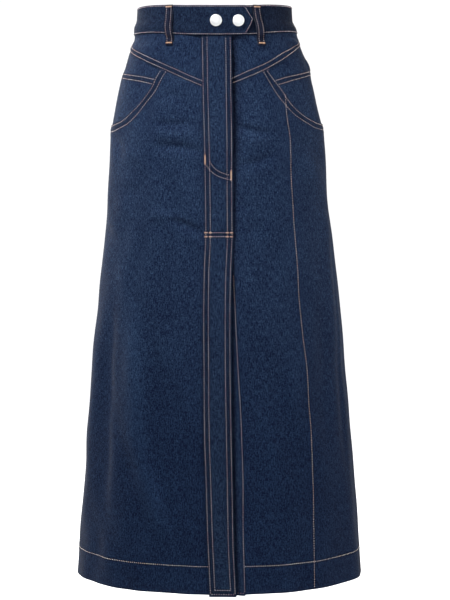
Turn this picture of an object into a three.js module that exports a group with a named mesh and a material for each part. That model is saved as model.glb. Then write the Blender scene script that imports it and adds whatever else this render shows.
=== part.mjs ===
// An A-line denim midi skirt, filled out as if worn, with nothing inside it.
// Millimetres, +Z up. The front faces -Y, and left and right are as seen from the front.
// The origin is the middle of the waistband's ring, where a waist holds the skirt up.
import * as THREE from "three";

const degree = Math.PI / 180;

// Cloth and seams
const clothThickness = 1.2;
const lightThickness = 1.0; // pocket pieces
const stripThickness = 2.0; // the front strip, folded double
const bandThickness = 2.6; // the waistband, folded double over its stiffening
const loopThickness = 1.8;
const seamGap = 0.3;
const layerGap = 0.3;
const stripGap = 0.4;

// Heights, as drops below the waistband's top edge at the sides
const bandMiddleDrop = 22;
const hemDrop = 845;
const hemDepth = 40;
const stripHemDrop = 847.5;
const underlapHemDrop = 846.8;

// The body's outer face: half widths and depths from the middle of the waist
const bodySections = [
  { drop: 0, left: 116.2, right: 109.4, front: 91, back: 93 },
  { drop: 20, left: 117.0, right: 110.2, front: 92, back: 95 },
  { drop: 33, left: 121.2, right: 116.2, front: 93, back: 96.5 },
  { drop: 47, left: 121.8, right: 119.8, front: 94.5, back: 99 },
  { drop: 62, left: 127.6, right: 125.0, front: 96.5, back: 103 },
  { drop: 85, left: 134.6, right: 134.0, front: 100, back: 110 },
  { drop: 110, left: 142.4, right: 140.8, front: 104, back: 118 },
  { drop: 150, left: 149.8, right: 149.6, front: 109.5, back: 127 },
  { drop: 195, left: 156.2, right: 159.2, front: 114.5, back: 133 },
  { drop: 255, left: 160.6, right: 162.8, front: 119.5, back: 136.5 },
  { drop: 345, left: 166.6, right: 171.0, front: 126.5, back: 140 },
  { drop: 435, left: 177.0, right: 180.9, front: 133, back: 144 },
  { drop: 525, left: 186.3, right: 187.7, front: 139.5, back: 150 },
  { drop: 615, left: 193.2, right: 196.4, front: 146.5, back: 157 },
  { drop: 705, left: 199.3, right: 204.8, front: 153.5, back: 164 },
  { drop: 796, left: 206.2, right: 213.4, front: 160, back: 170.5 },
  { drop: 845, left: 210.0, right: 217.6, front: 163.5, back: 174 },
];

// Soft flutes: how far each stands out (or sinks in) at its fullest, between its top and the hem
const flutes = [
  { angle: -62, spread: 14, rise: -3.0, top: 420, full: 700, hemShare: 0.8 },
  { angle: -42, spread: 16, rise: 3.5, top: 330, full: 640, hemShare: 0.8 },
  { angle: -21, spread: 13, rise: -3.0, top: 420, full: 700, hemShare: 0.7 },
  { angle: 26, spread: 14, rise: 1.5, top: 340, full: 760, hemShare: 1 },
  { angle: 56, spread: 13, rise: -1.8, top: 260, full: 640, hemShare: 1 },
  { angle: 73, spread: 12, rise: 3.2, top: 230, full: 440, hemShare: 0.6 },
  { angle: 112, spread: 16, rise: 5.0, top: 280, full: 700, hemShare: 1 },
  { angle: 134, spread: 14, rise: -4.5, top: 300, full: 740, hemShare: 1 },
  { angle: 156, spread: 16, rise: 4.5, top: 320, full: 760, hemShare: 1 },
  { angle: -110, spread: 15, rise: 4.0, top: 320, full: 740, hemShare: 1 },
  { angle: -131, spread: 14, rise: -4.0, top: 280, full: 700, hemShare: 1 },
  { angle: -154, spread: 17, rise: 5.0, top: 300, full: 720, hemShare: 1 },
];

// Seams that run round the skirt: drops at angles from the front centre
const sideSeam = 92;
const yokeSeam = [
  { angle: -180, drop: 100 },
  { angle: -150, drop: 92 },
  { angle: -120, drop: 74 },
  { angle: -92, drop: 62 },
  { angle: -75, drop: 69.5 },
  { angle: -55, drop: 81 },
  { angle: -35, drop: 96 },
  { angle: -20, drop: 109.5 },
  { angle: -8, drop: 121.5 },
  { angle: 0, drop: 124 },
  { angle: 9, drop: 118.5 },
  { angle: 27, drop: 101 },
  { angle: 41, drop: 87 },
  { angle: 60, drop: 71 },
  { angle: 77, drop: 61 },
  { angle: 92, drop: 56 },
  { angle: 120, drop: 72 },
  { angle: 150, drop: 92 },
  { angle: 180, drop: 100 },
];
const bandEdges = [
  { angle: -180, top: 1.4, bottom: 41 },
  { angle: -92, top: 2.6, bottom: 42.1 },
  { angle: -58, top: 1.6, bottom: 42.1 },
  { angle: -40, top: 2.2, bottom: 43.6 },
  { angle: -19, top: 3.8, bottom: 46.8 },
  { angle: 0, top: 4.4, bottom: 47.6 },
  { angle: 21, top: 3.9, bottom: 46.6 },
  { angle: 45, top: 1.4, bottom: 42.4 },
  { angle: 70, top: 0.3, bottom: 39.8 },
  { angle: 92, top: 0.3, bottom: 39.6 },
  { angle: 180, top: 1.4, bottom: 41 },
];
const hemEdge = [
  { angle: -180, drop: 842.5 },
  { angle: -92, drop: 842 },
  { angle: -60, drop: 843 },
  { angle: -40, drop: 843.8 },
  { angle: -20, drop: 844.6 },
  { angle: 0, drop: 845 },
  { angle: 20, drop: 845.2 },
  { angle: 40, drop: 845 },
  { angle: 60, drop: 844 },
  { angle: 92, drop: 842.4 },
  { angle: 180, drop: 842.5 },
];
const pocketMouthLeft = [
  { angle: 34.5, drop: 96.4 },
  { angle: 38.3, drop: 107 },
  { angle: 41, drop: 120 },
  { angle: 47, drop: 138 },
  { angle: 54, drop: 152.5 },
  { angle: 66, drop: 168 },
  { angle: 92, drop: 176 },
];
const pocketMouthRight = [
  { angle: 32.5, drop: 95.4 },
  { angle: 36.2, drop: 109 },
  { angle: 42, drop: 128 },
  { angle: 51.5, drop: 153 },
  { angle: 61.5, drop: 165 },
  { angle: 70, drop: 170 },
  { angle: 92, drop: 173 },
];
const coinPocketLeft = [
  { angle: 34.5, drop: 110 },
  { angle: 54, drop: 103 },
  { angle: 92, drop: 96.5 },
];
const coinPocketRight = [
  { angle: 32.5, drop: 112 },
  { angle: 47, drop: 104.4 },
  { angle: 92, drop: 93.5 },
];
const pocketUnderlap = 10; // how far the pocket pieces run on behind the front panel
const pocketRise = 1.5; // how far the pocket's edge stands out over them
const pocketRiseReach = 14;

// Seams and edges that run down the skirt
const panelSeam = [
  { drop: 100, angle: 42.6 },
  { drop: 200, angle: 41.6 },
  { drop: 345, angle: 41.5 },
  { drop: 480, angle: 42.3 },
  { drop: 570, angle: 44 },
  { drop: 700, angle: 43.2 },
  { drop: 845, angle: 41 },
];
const frontStrip = [
  { drop: 40, centre: -0.5, half: 21.3, underlapSeam: 14 },
  { drop: 140, centre: 0.6, half: 21.1, underlapSeam: 15 },
  { drop: 240, centre: 2.3, half: 20.6, underlapSeam: 18 },
  { drop: 333, centre: 3.2, half: 20.3, underlapSeam: 21 },
  { drop: 390, centre: 1.1, half: 20.2, underlapSeam: 25.3 },
  { drop: 440, centre: 0.3, half: 20.1, underlapSeam: 27.6 },
  { drop: 510, centre: 0.5, half: 20.1, underlapSeam: 31 },
  { drop: 610, centre: 1.4, half: 20.2, underlapSeam: 36.6 },
  { drop: 680, centre: 3.2, half: 19.9, underlapSeam: 38.8 },
  { drop: 770, centre: 5.3, half: 19.3, underlapSeam: 39.4 },
  { drop: 850, centre: 8.9, half: 19.4, underlapSeam: 41.6 },
];
const leftFrontTuck = 8; // the left front ends this far to the left of the strip's centre
const underlapWidth = 38;
const underlapSink = 1.65;
const underlapSinkStart = 9; // to the right of the left front's edge
const underlapSinkEnd = 22;
const slitTop = 340;
const slitFull = 460;
const slitLift = 2.0; // how far the strip's free edge stands out below the slit's top

// Waistband, tab and snaps
const bandLift = 1.2;
const tabLift = bandThickness + layerGap;
const tabRampStart = -46;
const tabRampEnd = -24;
const bandUnderEnd = -21;
const tabCornerX = 40.5;
const tabTipX = 52;
const tabTipDrop = 23.5;
const snapDrop = 26.3;
const snapPlaces = { snap_inner: -1, snap_outer: 30.2 };
const snapRadius = 8.6;
const snapFoot = 7.6;
const snapRim = 1.3;
const snapHeight = 2.4;

// Belt loops: the strip's centre line at its top and bottom ends
const beltLoops = {
  belt_loop_front_left: { topAngle: -35.6, endAngle: -32.6 },
  belt_loop_front_right: { topAngle: 31.2, endAngle: 31.4 },
  belt_loop_back_left: { topAngle: -113, endAngle: -113 },
  belt_loop_back_centre: { topAngle: 180, endAngle: 180 },
  belt_loop_back_right: { topAngle: 113, endAngle: 113 },
};
const loopWidth = 12;
const loopLength = 58;
const loopClearance = 3.2;
const loopSewnLength = 7;

const columnStep = 5.2 * degree;

const denim = new THREE.MeshStandardMaterial({ color: 0x26324d, roughness: 0.9, metalness: 0 });
const denimDark = new THREE.MeshStandardMaterial({ color: 0x212c45, roughness: 0.9, metalness: 0 });
const polishedMetal = new THREE.MeshStandardMaterial({ color: 0xe6e8ea, roughness: 0.25, metalness: 1 });

const skirt = new THREE.Group();

function clamp(value, low, high) {
  return Math.min(high, Math.max(low, value));
}

function ease(value, start, end) {
  const share = clamp((value - start) / (end - start), 0, 1);
  return share * share * (3 - 2 * share);
}

// A smooth curve through a table's rows that never swings past them.
function curveThrough(rows, from, to) {
  const xs = rows.map((row) => row[from]);
  const ys = rows.map((row) => row[to]);
  const slopes = xs.slice(1).map((x, i) => (ys[i + 1] - ys[i]) / (x - xs[i]));
  const tangents = xs.map((_, i) => {
    const before = slopes[Math.max(i - 1, 0)];
    const after = slopes[Math.min(i, slopes.length - 1)];
    return before * after > 0 ? (2 * before * after) / (before + after) : 0;
  });
  return (value) => {
    const x = clamp(value, xs[0], xs[xs.length - 1]);
    let i = 0;
    while (i < slopes.length - 1 && x > xs[i + 1]) i += 1;
    const width = xs[i + 1] - xs[i];
    const t = (x - xs[i]) / width;
    const bend = (1 - t) * (1 - t);
    return (
      ys[i] * (1 + 2 * t) * bend +
      tangents[i] * width * t * bend +
      ys[i + 1] * t * t * (3 - 2 * t) +
      tangents[i + 1] * width * t * t * (t - 1)
    );
  };
}

const halfLeft = curveThrough(bodySections, "drop", "left");
const halfRight = curveThrough(bodySections, "drop", "right");
const depthFront = curveThrough(bodySections, "drop", "front");
const depthBack = curveThrough(bodySections, "drop", "back");

function halfWidth(angle, drop) {
  return Math.sin(angle) < 0 ? halfLeft(drop) : halfRight(drop);
}

function depth(angle, drop) {
  return Math.cos(angle) > 0 ? depthFront(drop) : depthBack(drop);
}

function fluteRise(angle, drop) {
  return flutes.reduce((total, flute) => {
    const away = Math.atan2(Math.sin(angle - flute.angle * degree), Math.cos(angle - flute.angle * degree));
    const share = Math.abs(away) / (flute.spread * degree);
    if (share >= 1) return total;
    const grown = ease(drop, flute.top, flute.full);
    const kept = 1 - (1 - flute.hemShare) * ease(drop, flute.full, hemDrop);
    return total + flute.rise * grown * kept * (0.5 + 0.5 * Math.cos(Math.PI * share));
  }, 0);
}

// The way straight out of the body, level with the floor.
function outward(angle, drop) {
  return new THREE.Vector3(
    Math.sin(angle) / halfWidth(angle, drop),
    -Math.cos(angle) / depth(angle, drop),
    0,
  ).normalize();
}

// A point on the body, moved out by lift.
function bodyPoint(angle, drop, lift) {
  const point = new THREE.Vector3(
    halfWidth(angle, drop) * Math.sin(angle),
    -depth(angle, drop) * Math.cos(angle),
    bandMiddleDrop - drop,
  );
  return point.addScaledVector(outward(angle, drop), lift + fluteRise(angle, drop));
}

// Square to the body, which also leans with its drop.
function bodyNormal(angle, drop) {
  const across = bodyPoint(angle + 0.01, drop, 0).sub(bodyPoint(angle - 0.01, drop, 0));
  const down = bodyPoint(angle, drop + 2, 0).sub(bodyPoint(angle, drop - 2, 0));
  return down.cross(across).normalize();
}

// Millimetres along the body for one radian there.
function reach(angle, drop) {
  return Math.hypot(halfWidth(angle, drop) * Math.cos(angle), depth(angle, drop) * Math.sin(angle));
}

// The angle of a place on the front, x to the right of the middle.
function angleAt(x, drop) {
  return Math.asin(x / (x < 0 ? halfLeft(drop) : halfRight(drop)));
}

function inDegrees(curve) {
  return (angle) => curve(angle / degree);
}

const bandTop = inDegrees(curveThrough(bandEdges, "angle", "top"));
const bandBottom = inDegrees(curveThrough(bandEdges, "angle", "bottom"));
const hemBottom = inDegrees(curveThrough(hemEdge, "angle", "drop"));
const yokeDrop = inDegrees(curveThrough(yokeSeam, "angle", "drop"));
const panelSeamAngle = curveThrough(panelSeam, "drop", "angle");
const stripCentre = curveThrough(frontStrip, "drop", "centre");
const stripHalf = curveThrough(frontStrip, "drop", "half");
const underlapSeam = curveThrough(frontStrip, "drop", "underlapSeam");

const pockets = {
  left: {
    sign: -1,
    mouth: curveThrough(pocketMouthLeft, "angle", "drop"),
    coin: curveThrough(coinPocketLeft, "angle", "drop"),
    meetsYoke: pocketMouthLeft[0].angle,
    coinStart: 37.2,
  },
  right: {
    sign: 1,
    mouth: curveThrough(pocketMouthRight, "angle", "drop"),
    coin: curveThrough(coinPocketRight, "angle", "drop"),
    meetsYoke: pocketMouthRight[0].angle,
    coinStart: 35.4,
  },
};

function pocketOf(angle) {
  return angle < 0 ? pockets.left : pockets.right;
}

function mouthDrop(angle) {
  return pocketOf(angle).mouth(Math.abs(angle) / degree);
}

function coinDrop(angle) {
  return pocketOf(angle).coin(Math.abs(angle) / degree);
}

// The front's top edge follows the yoke, then the pocket's mouth.
function frontTop(angle) {
  return Math.abs(angle) / degree < pocketOf(angle).meetsYoke ? yokeDrop(angle) : mouthDrop(angle);
}

// How far the front stands out over the pocket pieces, most at the mouth.
function pocketLift(angle, drop) {
  if (Math.abs(angle) / degree < pocketOf(angle).meetsYoke) {
    const past = (pocketOf(angle).meetsYoke - Math.abs(angle) / degree) * degree * reach(angle, drop);
    const below = drop - frontTop(angle);
    return pocketRise * Math.exp(-(past * past + below * below) / pocketRiseReach ** 2);
  }
  const below = Math.max(0, drop - mouthDrop(angle));
  return pocketRise * Math.exp(-((below / pocketRiseReach) ** 2));
}

// Columns between two edges that run down the skirt, each a function from drop to angle.
function columnsBetween(left, right, count) {
  const shares = Array.from({ length: count + 1 }, (_, i) => i / count);
  return shares.map((share) => (drop) => {
    const nudge = (seamGap / 2) * (1 - 2 * share);
    const angle = left(drop) * (1 - share) + right(drop) * share;
    return angle + nudge / reach(angle, drop);
  });
}

function fixedAngle(angle) {
  return () => angle * degree;
}

function columnCount(from, to) {
  return Math.max(1, Math.round(Math.abs(to - from) / columnStep));
}

// Where a column meets an edge whose drop changes with the angle.
function meet(column, edge, start) {
  let drop = start;
  for (let turn = 0; turn < 12; turn += 1) drop = edge(column(drop));
  return drop;
}

function evenRows(count) {
  return (top, bottom) =>
    Array.from({ length: count + 1 }, (_, i) => top + ((bottom - top) * i) / count);
}

// Rows that are close together under the top edge, then even, with a pair at the hem's fold.
function hemmedRows(closeRows, evenCount) {
  return (top, bottom) => {
    const fold = bottom - hemDepth;
    const start = top + closeRows[closeRows.length - 1];
    const step = (fold - 1 - start) / evenCount;
    const even = Array.from({ length: evenCount }, (_, i) => start + step * (i + 1));
    return [...closeRows.map((step) => top + step), ...even, fold + 1, bottom];
  };
}

// A closed wall of cloth over a grid of columns and rows, between its outer and inner lifts.
function clothWall(name, material, { columns, top, bottom, rows, outer, inner }) {
  const last = columns.length - 1;
  const layers = [outer, inner].map((lift) =>
    columns.map((column, c) => {
      const topDrop = meet(column, top, hemDepth) + seamGap / 2;
      const bottomDrop = meet(column, bottom, hemDrop) - seamGap / 2;
      return rows(topDrop, bottomDrop).map((drop) => {
        const angle = column(drop);
        return bodyPoint(angle, drop, lift(angle, drop, c / last));
      });
    }),
  );
  const rowCount = layers[0][0].length;
  const points = layers.flat(2);
  const at = (layer, c, r) => (layer * columns.length + c) * rowCount + r;
  const faces = [];
  const quad = (a, b, c, d) => faces.push(a, b, c, a, c, d);
  for (let c = 0; c < last; c += 1) {
    for (let r = 0; r < rowCount - 1; r += 1) {
      quad(at(0, c, r), at(0, c, r + 1), at(0, c + 1, r + 1), at(0, c + 1, r));
      quad(at(1, c + 1, r), at(1, c + 1, r + 1), at(1, c, r + 1), at(1, c, r));
    }
  }
  const rim = [];
  for (let r = 0; r < rowCount - 1; r += 1) rim.push([0, r]);
  for (let c = 0; c < last; c += 1) rim.push([c, rowCount - 1]);
  for (let r = rowCount - 1; r > 0; r -= 1) rim.push([last, r]);
  for (let c = last; c > 0; c -= 1) rim.push([c, 0]);
  rim.forEach(([c, r], i) => {
    const [nextC, nextR] = rim[(i + 1) % rim.length];
    quad(at(0, nextC, nextR), at(0, c, r), at(1, c, r), at(1, nextC, nextR));
  });
  const geometry = new THREE.BufferGeometry();
  geometry.setAttribute("position", new THREE.Float32BufferAttribute(points.flatMap((p) => p.toArray()), 3));
  geometry.setIndex(faces);
  geometry.computeVertexNormals();
  const mesh = new THREE.Mesh(geometry, material);
  mesh.name = name;
  skirt.add(mesh);
}

function level(height) {
  return () => height;
}

// The hem is turned up once inside, so the wall is double there.
function hemmedInner(lift) {
  return (angle, drop) => lift(angle, drop) - clothThickness * (drop > hemBottom(angle) - hemDepth ? 2 : 1);
}

function leftFrontEdge(drop) {
  return angleAt(stripCentre(drop) - leftFrontTuck, drop);
}

function underlapEdge(drop) {
  return angleAt(underlapSeam(drop), drop);
}

function addFronts() {
  const rows = hemmedRows([0, 5, 11, 20, 34], 12);
  const wall = { top: frontTop, bottom: hemBottom, rows, outer: pocketLift, inner: hemmedInner(pocketLift) };
  const seam = (drop) => panelSeamAngle(drop) * degree;
  const panels = {
    front_left: [fixedAngle(-sideSeam), leftFrontEdge],
    front_right: [underlapEdge, seam],
    front_right_side: [seam, fixedAngle(sideSeam)],
  };
  for (const [name, [left, right]] of Object.entries(panels)) {
    const count = columnCount(left(hemDrop), right(hemDrop));
    clothWall(name, denim, { ...wall, columns: columnsBetween(left, right, count) });
  }
}

function addYokes() {
  const wall = {
    top: bandBottom,
    bottom: yokeDrop,
    rows: evenRows(4),
    outer: level(0),
    inner: level(-clothThickness),
  };
  const yokes = {
    yoke_front_left: [fixedAngle(-sideSeam), leftFrontEdge],
    yoke_front_right: [underlapEdge, fixedAngle(sideSeam)],
    yoke_back_left: [fixedAngle(-180), fixedAngle(-sideSeam)],
    yoke_back_right: [fixedAngle(sideSeam), fixedAngle(180)],
  };
  for (const [name, [left, right]] of Object.entries(yokes)) {
    const count = columnCount(left(hemDepth), right(hemDepth));
    clothWall(name, denim, { ...wall, columns: columnsBetween(left, right, count) });
  }
}

function addBacks() {
  const rows = hemmedRows([0, 12, 30], 12);
  const wall = { top: yokeDrop, bottom: hemBottom, rows, outer: level(0), inner: hemmedInner(level(0)) };
  const backs = {
    back_left: [fixedAngle(-180), fixedAngle(-sideSeam)],
    back_right: [fixedAngle(sideSeam), fixedAngle(180)],
  };
  for (const [name, [left, right]] of Object.entries(backs)) {
    const count = columnCount(left(hemDrop), right(hemDrop));
    clothWall(name, denim, { ...wall, columns: columnsBetween(left, right, count) });
  }
}

// Behind each pocket's mouth: the hip piece, and the coin pocket that lies on it.
function addPocketPieces() {
  const coinOuter = (angle, drop) => pocketLift(angle, drop) - pocketRise;
  const hipOuter = (angle, drop) => coinOuter(angle, drop) - lightThickness - layerGap;
  for (const [side, pocket] of Object.entries(pockets)) {
    const pieces = {
      pocket_hip: { start: pocket.meetsYoke + 1, top: yokeDrop, rows: evenRows(7), outer: hipOuter },
      coin_pocket: { start: pocket.coinStart, top: coinDrop, rows: evenRows(5), outer: coinOuter },
    };
    for (const [name, { start, top, rows, outer }] of Object.entries(pieces)) {
      const edges = [pocket.sign * start, pocket.sign * sideSeam].sort((a, b) => a - b);
      clothWall(`${name}_${side}`, denimDark, {
        columns: columnsBetween(fixedAngle(edges[0]), fixedAngle(edges[1]), 12),
        top,
        bottom: (angle) => mouthDrop(angle) + pocketUnderlap,
        rows,
        outer,
        inner: (angle, drop) => outer(angle, drop) - lightThickness,
      });
    }
  }
}

// The strip down the middle of the front. Its right edge is free below the slit's top.
function addFrontStrip() {
  const left = (drop) => angleAt(stripCentre(drop) - stripHalf(drop), drop);
  const right = (drop) => angleAt(stripCentre(drop) + stripHalf(drop), drop);
  const inner = (angle, drop, across) =>
    stripGap + slitLift * ease(drop, slitTop, slitFull) * ease(across, 0.35, 1);
  clothWall("front_strip", denim, {
    columns: columnsBetween(left, right, 6),
    top: bandBottom,
    bottom: () => stripHemDrop,
    rows: evenRows(20),
    outer: (...place) => inner(...place) + stripThickness,
    inner,
  });
}

// The strip behind it, on the right front's edge, which runs on behind the left front.
function addUnderlap() {
  const left = (drop) => angleAt(underlapSeam(drop) - underlapWidth, drop);
  const outer = (angle, drop) => {
    const edge = stripCentre(drop) - leftFrontTuck;
    const x = halfWidth(angle, drop) * Math.sin(angle);
    const sunk = 1 - ease(x, edge + underlapSinkStart, edge + underlapSinkEnd);
    return -underlapSink * sunk;
  };
  clothWall("underlap", denimDark, {
    columns: columnsBetween(left, underlapEdge, 6),
    top: bandBottom,
    bottom: () => underlapHemDrop,
    rows: evenRows(18),
    outer,
    inner: (...place) => outer(...place) - clothThickness,
  });
}

// The tab's pointed end, at the right of the front.
function tabEnd(drop) {
  const above = tabTipDrop - bandTop(0);
  const below = bandBottom(0) - tabTipDrop;
  const share = drop < tabTipDrop ? (tabTipDrop - drop) / above : (drop - tabTipDrop) / below;
  return tabTipX + (tabCornerX - tabTipX) * clamp(share, 0, 1);
}

function addWaistband() {
  const bandRows = (top, bottom) => [0, 0.15, 0.5, 0.85, 1].map((share) => top + (bottom - top) * share);
  const wall = { top: bandTop, bottom: bandBottom, rows: bandRows };
  const outerLeft = (angle, drop) => {
    if (Math.cos(angle) < 0) return bandLift;
    const x = halfWidth(angle, drop) * Math.sin(angle);
    return bandLift + tabLift * ease(x, tabRampStart, tabRampEnd);
  };
  const tabStart = 30;
  const plain = columnsBetween(fixedAngle(-180), (drop) => angleAt(tabStart, drop), 38);
  const tip = [0.25, 0.5, 0.75, 1].map(
    (share) => (drop) => angleAt(tabStart + (tabEnd(drop) - tabStart) * share, drop),
  );
  clothWall("waistband_left", denim, {
    ...wall,
    columns: [...plain, ...tip],
    outer: outerLeft,
    inner: (...place) => outerLeft(...place) - bandThickness,
  });
  clothWall("waistband_right", denimDark, {
    ...wall,
    columns: columnsBetween((drop) => angleAt(bandUnderEnd, drop), fixedAngle(180), 37),
    outer: level(bandLift),
    inner: level(bandLift - bandThickness),
  });
}

// Each loop is sewn down at both ends and stands clear of the waistband between them.
function addBeltLoops() {
  for (const [name, { topAngle, endAngle }] of Object.entries(beltLoops)) {
    const top = bandTop(topAngle * degree);
    const centre = (drop) => (topAngle + ((endAngle - topAngle) * (drop - top)) / loopLength) * degree;
    const side = (sign) => (drop) => centre(drop) + (sign * loopWidth) / 2 / reach(centre(drop), drop);
    const inner = (angle, drop) => {
      const bandEnd = bandBottom(angle);
      const under = bandLift * (1 - ease(drop, bandEnd + 1, bandEnd + 7));
      const down = drop - top;
      const clear = Math.min(
        ease(down, loopSewnLength, loopSewnLength + 12),
        1 - ease(down, loopLength - loopSewnLength - 14, loopLength - loopSewnLength),
      );
      return under + layerGap + (loopClearance - layerGap) * clear;
    };
    clothWall(name, denim, {
      columns: columnsBetween(side(-1), side(1), 3),
      top: () => top,
      bottom: () => top + loopLength,
      rows: evenRows(14),
      outer: (...place) => inner(...place) + loopThickness,
      inner,
    });
  }
}

// A snap's cap: a shallow dome with a rolled edge.
function addSnaps() {
  const domeStart = new THREE.Vector2(snapRadius, snapRim);
  const dome = new THREE.CubicBezierCurve(
    domeStart,
    new THREE.Vector2(snapRadius, snapRim + 0.9),
    new THREE.Vector2(snapRadius * 0.55, snapHeight),
    new THREE.Vector2(0, snapHeight),
  );
  const profile = [
    new THREE.Vector2(0, 0),
    new THREE.Vector2(snapFoot, 0),
    new THREE.Vector2(snapRadius - 0.2, 0.5),
    ...dome.getPoints(8),
  ];
  for (const [name, x] of Object.entries(snapPlaces)) {
    const angle = angleAt(x, snapDrop);
    const cap = new THREE.Mesh(new THREE.LatheGeometry(profile, 28), polishedMetal);
    cap.name = name;
    cap.position.copy(bodyPoint(angle, snapDrop, bandLift + tabLift + layerGap));
    cap.quaternion.setFromUnitVectors(new THREE.Vector3(0, 1, 0), bodyNormal(angle, snapDrop));
    skirt.add(cap);
  }
}

addWaistband();
addYokes();
addFronts();
addPocketPieces();
addFrontStrip();
addUnderlap();
addBacks();
addBeltLoops();
addSnaps();

export default skirt;
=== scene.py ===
import math
import bpy
import numpy as np
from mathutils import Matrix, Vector, kdtree


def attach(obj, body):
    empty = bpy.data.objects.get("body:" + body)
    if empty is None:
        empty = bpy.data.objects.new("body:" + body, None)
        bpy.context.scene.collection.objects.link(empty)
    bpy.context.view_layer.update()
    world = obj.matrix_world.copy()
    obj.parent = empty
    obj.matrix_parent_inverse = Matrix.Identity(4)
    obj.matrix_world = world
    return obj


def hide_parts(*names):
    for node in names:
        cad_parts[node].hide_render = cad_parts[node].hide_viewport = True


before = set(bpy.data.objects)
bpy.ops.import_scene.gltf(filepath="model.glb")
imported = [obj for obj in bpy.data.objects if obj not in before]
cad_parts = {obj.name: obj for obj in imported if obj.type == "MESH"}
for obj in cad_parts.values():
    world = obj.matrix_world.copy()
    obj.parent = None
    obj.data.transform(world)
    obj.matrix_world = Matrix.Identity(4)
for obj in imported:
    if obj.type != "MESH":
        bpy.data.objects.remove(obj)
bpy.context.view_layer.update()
print("frame loaded:", len(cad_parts), "CAD nodes")

mm = 0.001
degree = math.pi / 180

# the skirt's form: the same tables as the CAD source, in millimetres and degrees
skirtForm = {
    "bandMiddleDrop": 22,
    "hemDepth": 40,
    "stripHemDrop": 847.5,
    "underlapHemDrop": 846.8,
    "drop": [0, 20, 33, 47, 62, 85, 110, 150, 195, 255, 345, 435, 525, 615, 705, 796, 845],
    "left": [116.2, 117, 121.2, 121.8, 127.6, 134.6, 142.4, 149.8, 156.2, 160.6, 166.6, 177, 186.3, 193.2,
             199.3, 206.2, 210],
    "right": [109.4, 110.2, 116.2, 119.8, 125, 134, 140.8, 149.6, 159.2, 162.8, 171, 180.9, 187.7, 196.4,
              204.8, 213.4, 217.6],
    "front": [91, 92, 93, 94.5, 96.5, 100, 104, 109.5, 114.5, 119.5, 126.5, 133, 139.5, 146.5, 153.5, 160,
              163.5],
    "back": [93, 95, 96.5, 99, 103, 110, 118, 127, 133, 136.5, 140, 144, 150, 157, 164, 170.5, 174],
}

# angle, spread, rise, drop where it starts, drop where it is full, share left at the hem
hemFlutes = [
    (-62, 14, -3.0, 420, 700, 0.8),
    (-42, 16, 3.5, 330, 640, 0.8),
    (-21, 13, -3.0, 420, 700, 0.7),
    (26, 14, 1.5, 340, 760, 1),
    (56, 13, -1.8, 260, 640, 1),
    (73, 12, 3.2, 230, 440, 0.6),
    (112, 16, 5.0, 280, 700, 1),
    (134, 14, -4.5, 300, 740, 1),
    (156, 16, 4.5, 320, 760, 1),
    (-110, 15, 4.0, 320, 740, 1),
    (-131, 14, -4.0, 280, 700, 1),
    (-154, 17, 5.0, 300, 720, 1),
]


def ease(value, start, end):
    share = np.clip((value - start) / (end - start), 0, 1)
    return share * share * (3 - 2 * share)


def bell(distance, width):
    return np.exp(-(distance / width) ** 2)


# a smooth curve through table rows that never swings past them
def curveThrough(rows):
    xs, ys = (np.array(column, float) for column in zip(*sorted(rows)))
    widths = np.diff(xs)
    slopes = np.diff(ys) / widths
    before = np.concatenate([slopes[:1], slopes])
    after = np.concatenate([slopes, slopes[-1:]])
    turning = before * after <= 0
    tangents = np.where(turning, 0, 2 * before * after / np.where(turning, 1, before + after))

    def at(value):
        x = np.clip(value, xs[0], xs[-1])
        i = np.clip(np.searchsorted(xs, x) - 1, 0, len(widths) - 1)
        width = widths[i]
        t = (x - xs[i]) / width
        bend = (1 - t) ** 2
        return (ys[i] * (1 + 2 * t) * bend + tangents[i] * width * t * bend
                + ys[i + 1] * t * t * (3 - 2 * t) + tangents[i + 1] * width * t * t * (t - 1))
    return at


def formCurve(side):
    return curveThrough(list(zip(skirtForm["drop"], skirtForm[side])))


halfLeft, halfRight, depthFront, depthBack = (formCurve(side) for side in ("left", "right", "front", "back"))


def halfWidth(angle, drop):
    return np.where(np.sin(angle) < 0, halfLeft(drop), halfRight(drop))


def halfDepth(angle, drop):
    return np.where(np.cos(angle) > 0, depthFront(drop), depthBack(drop))


# millimetres round the skirt for one radian
def reach(angle, drop):
    return np.hypot(halfWidth(angle, drop) * np.cos(angle), halfDepth(angle, drop) * np.sin(angle))


def angleAt(x, drop):
    x = np.asarray(x, float)
    return np.arcsin(x / np.where(x < 0, halfLeft(drop), halfRight(drop)))


def sideways(angle, drop):
    return halfWidth(angle, drop) * np.sin(angle)


def turnFrom(angle, centre):
    return np.arctan2(np.sin(angle - centre), np.cos(angle - centre))


def roundCurve(rows):
    curve = curveThrough(rows)
    return lambda angle: curve(turnFrom(angle, 0) / degree)


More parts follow.
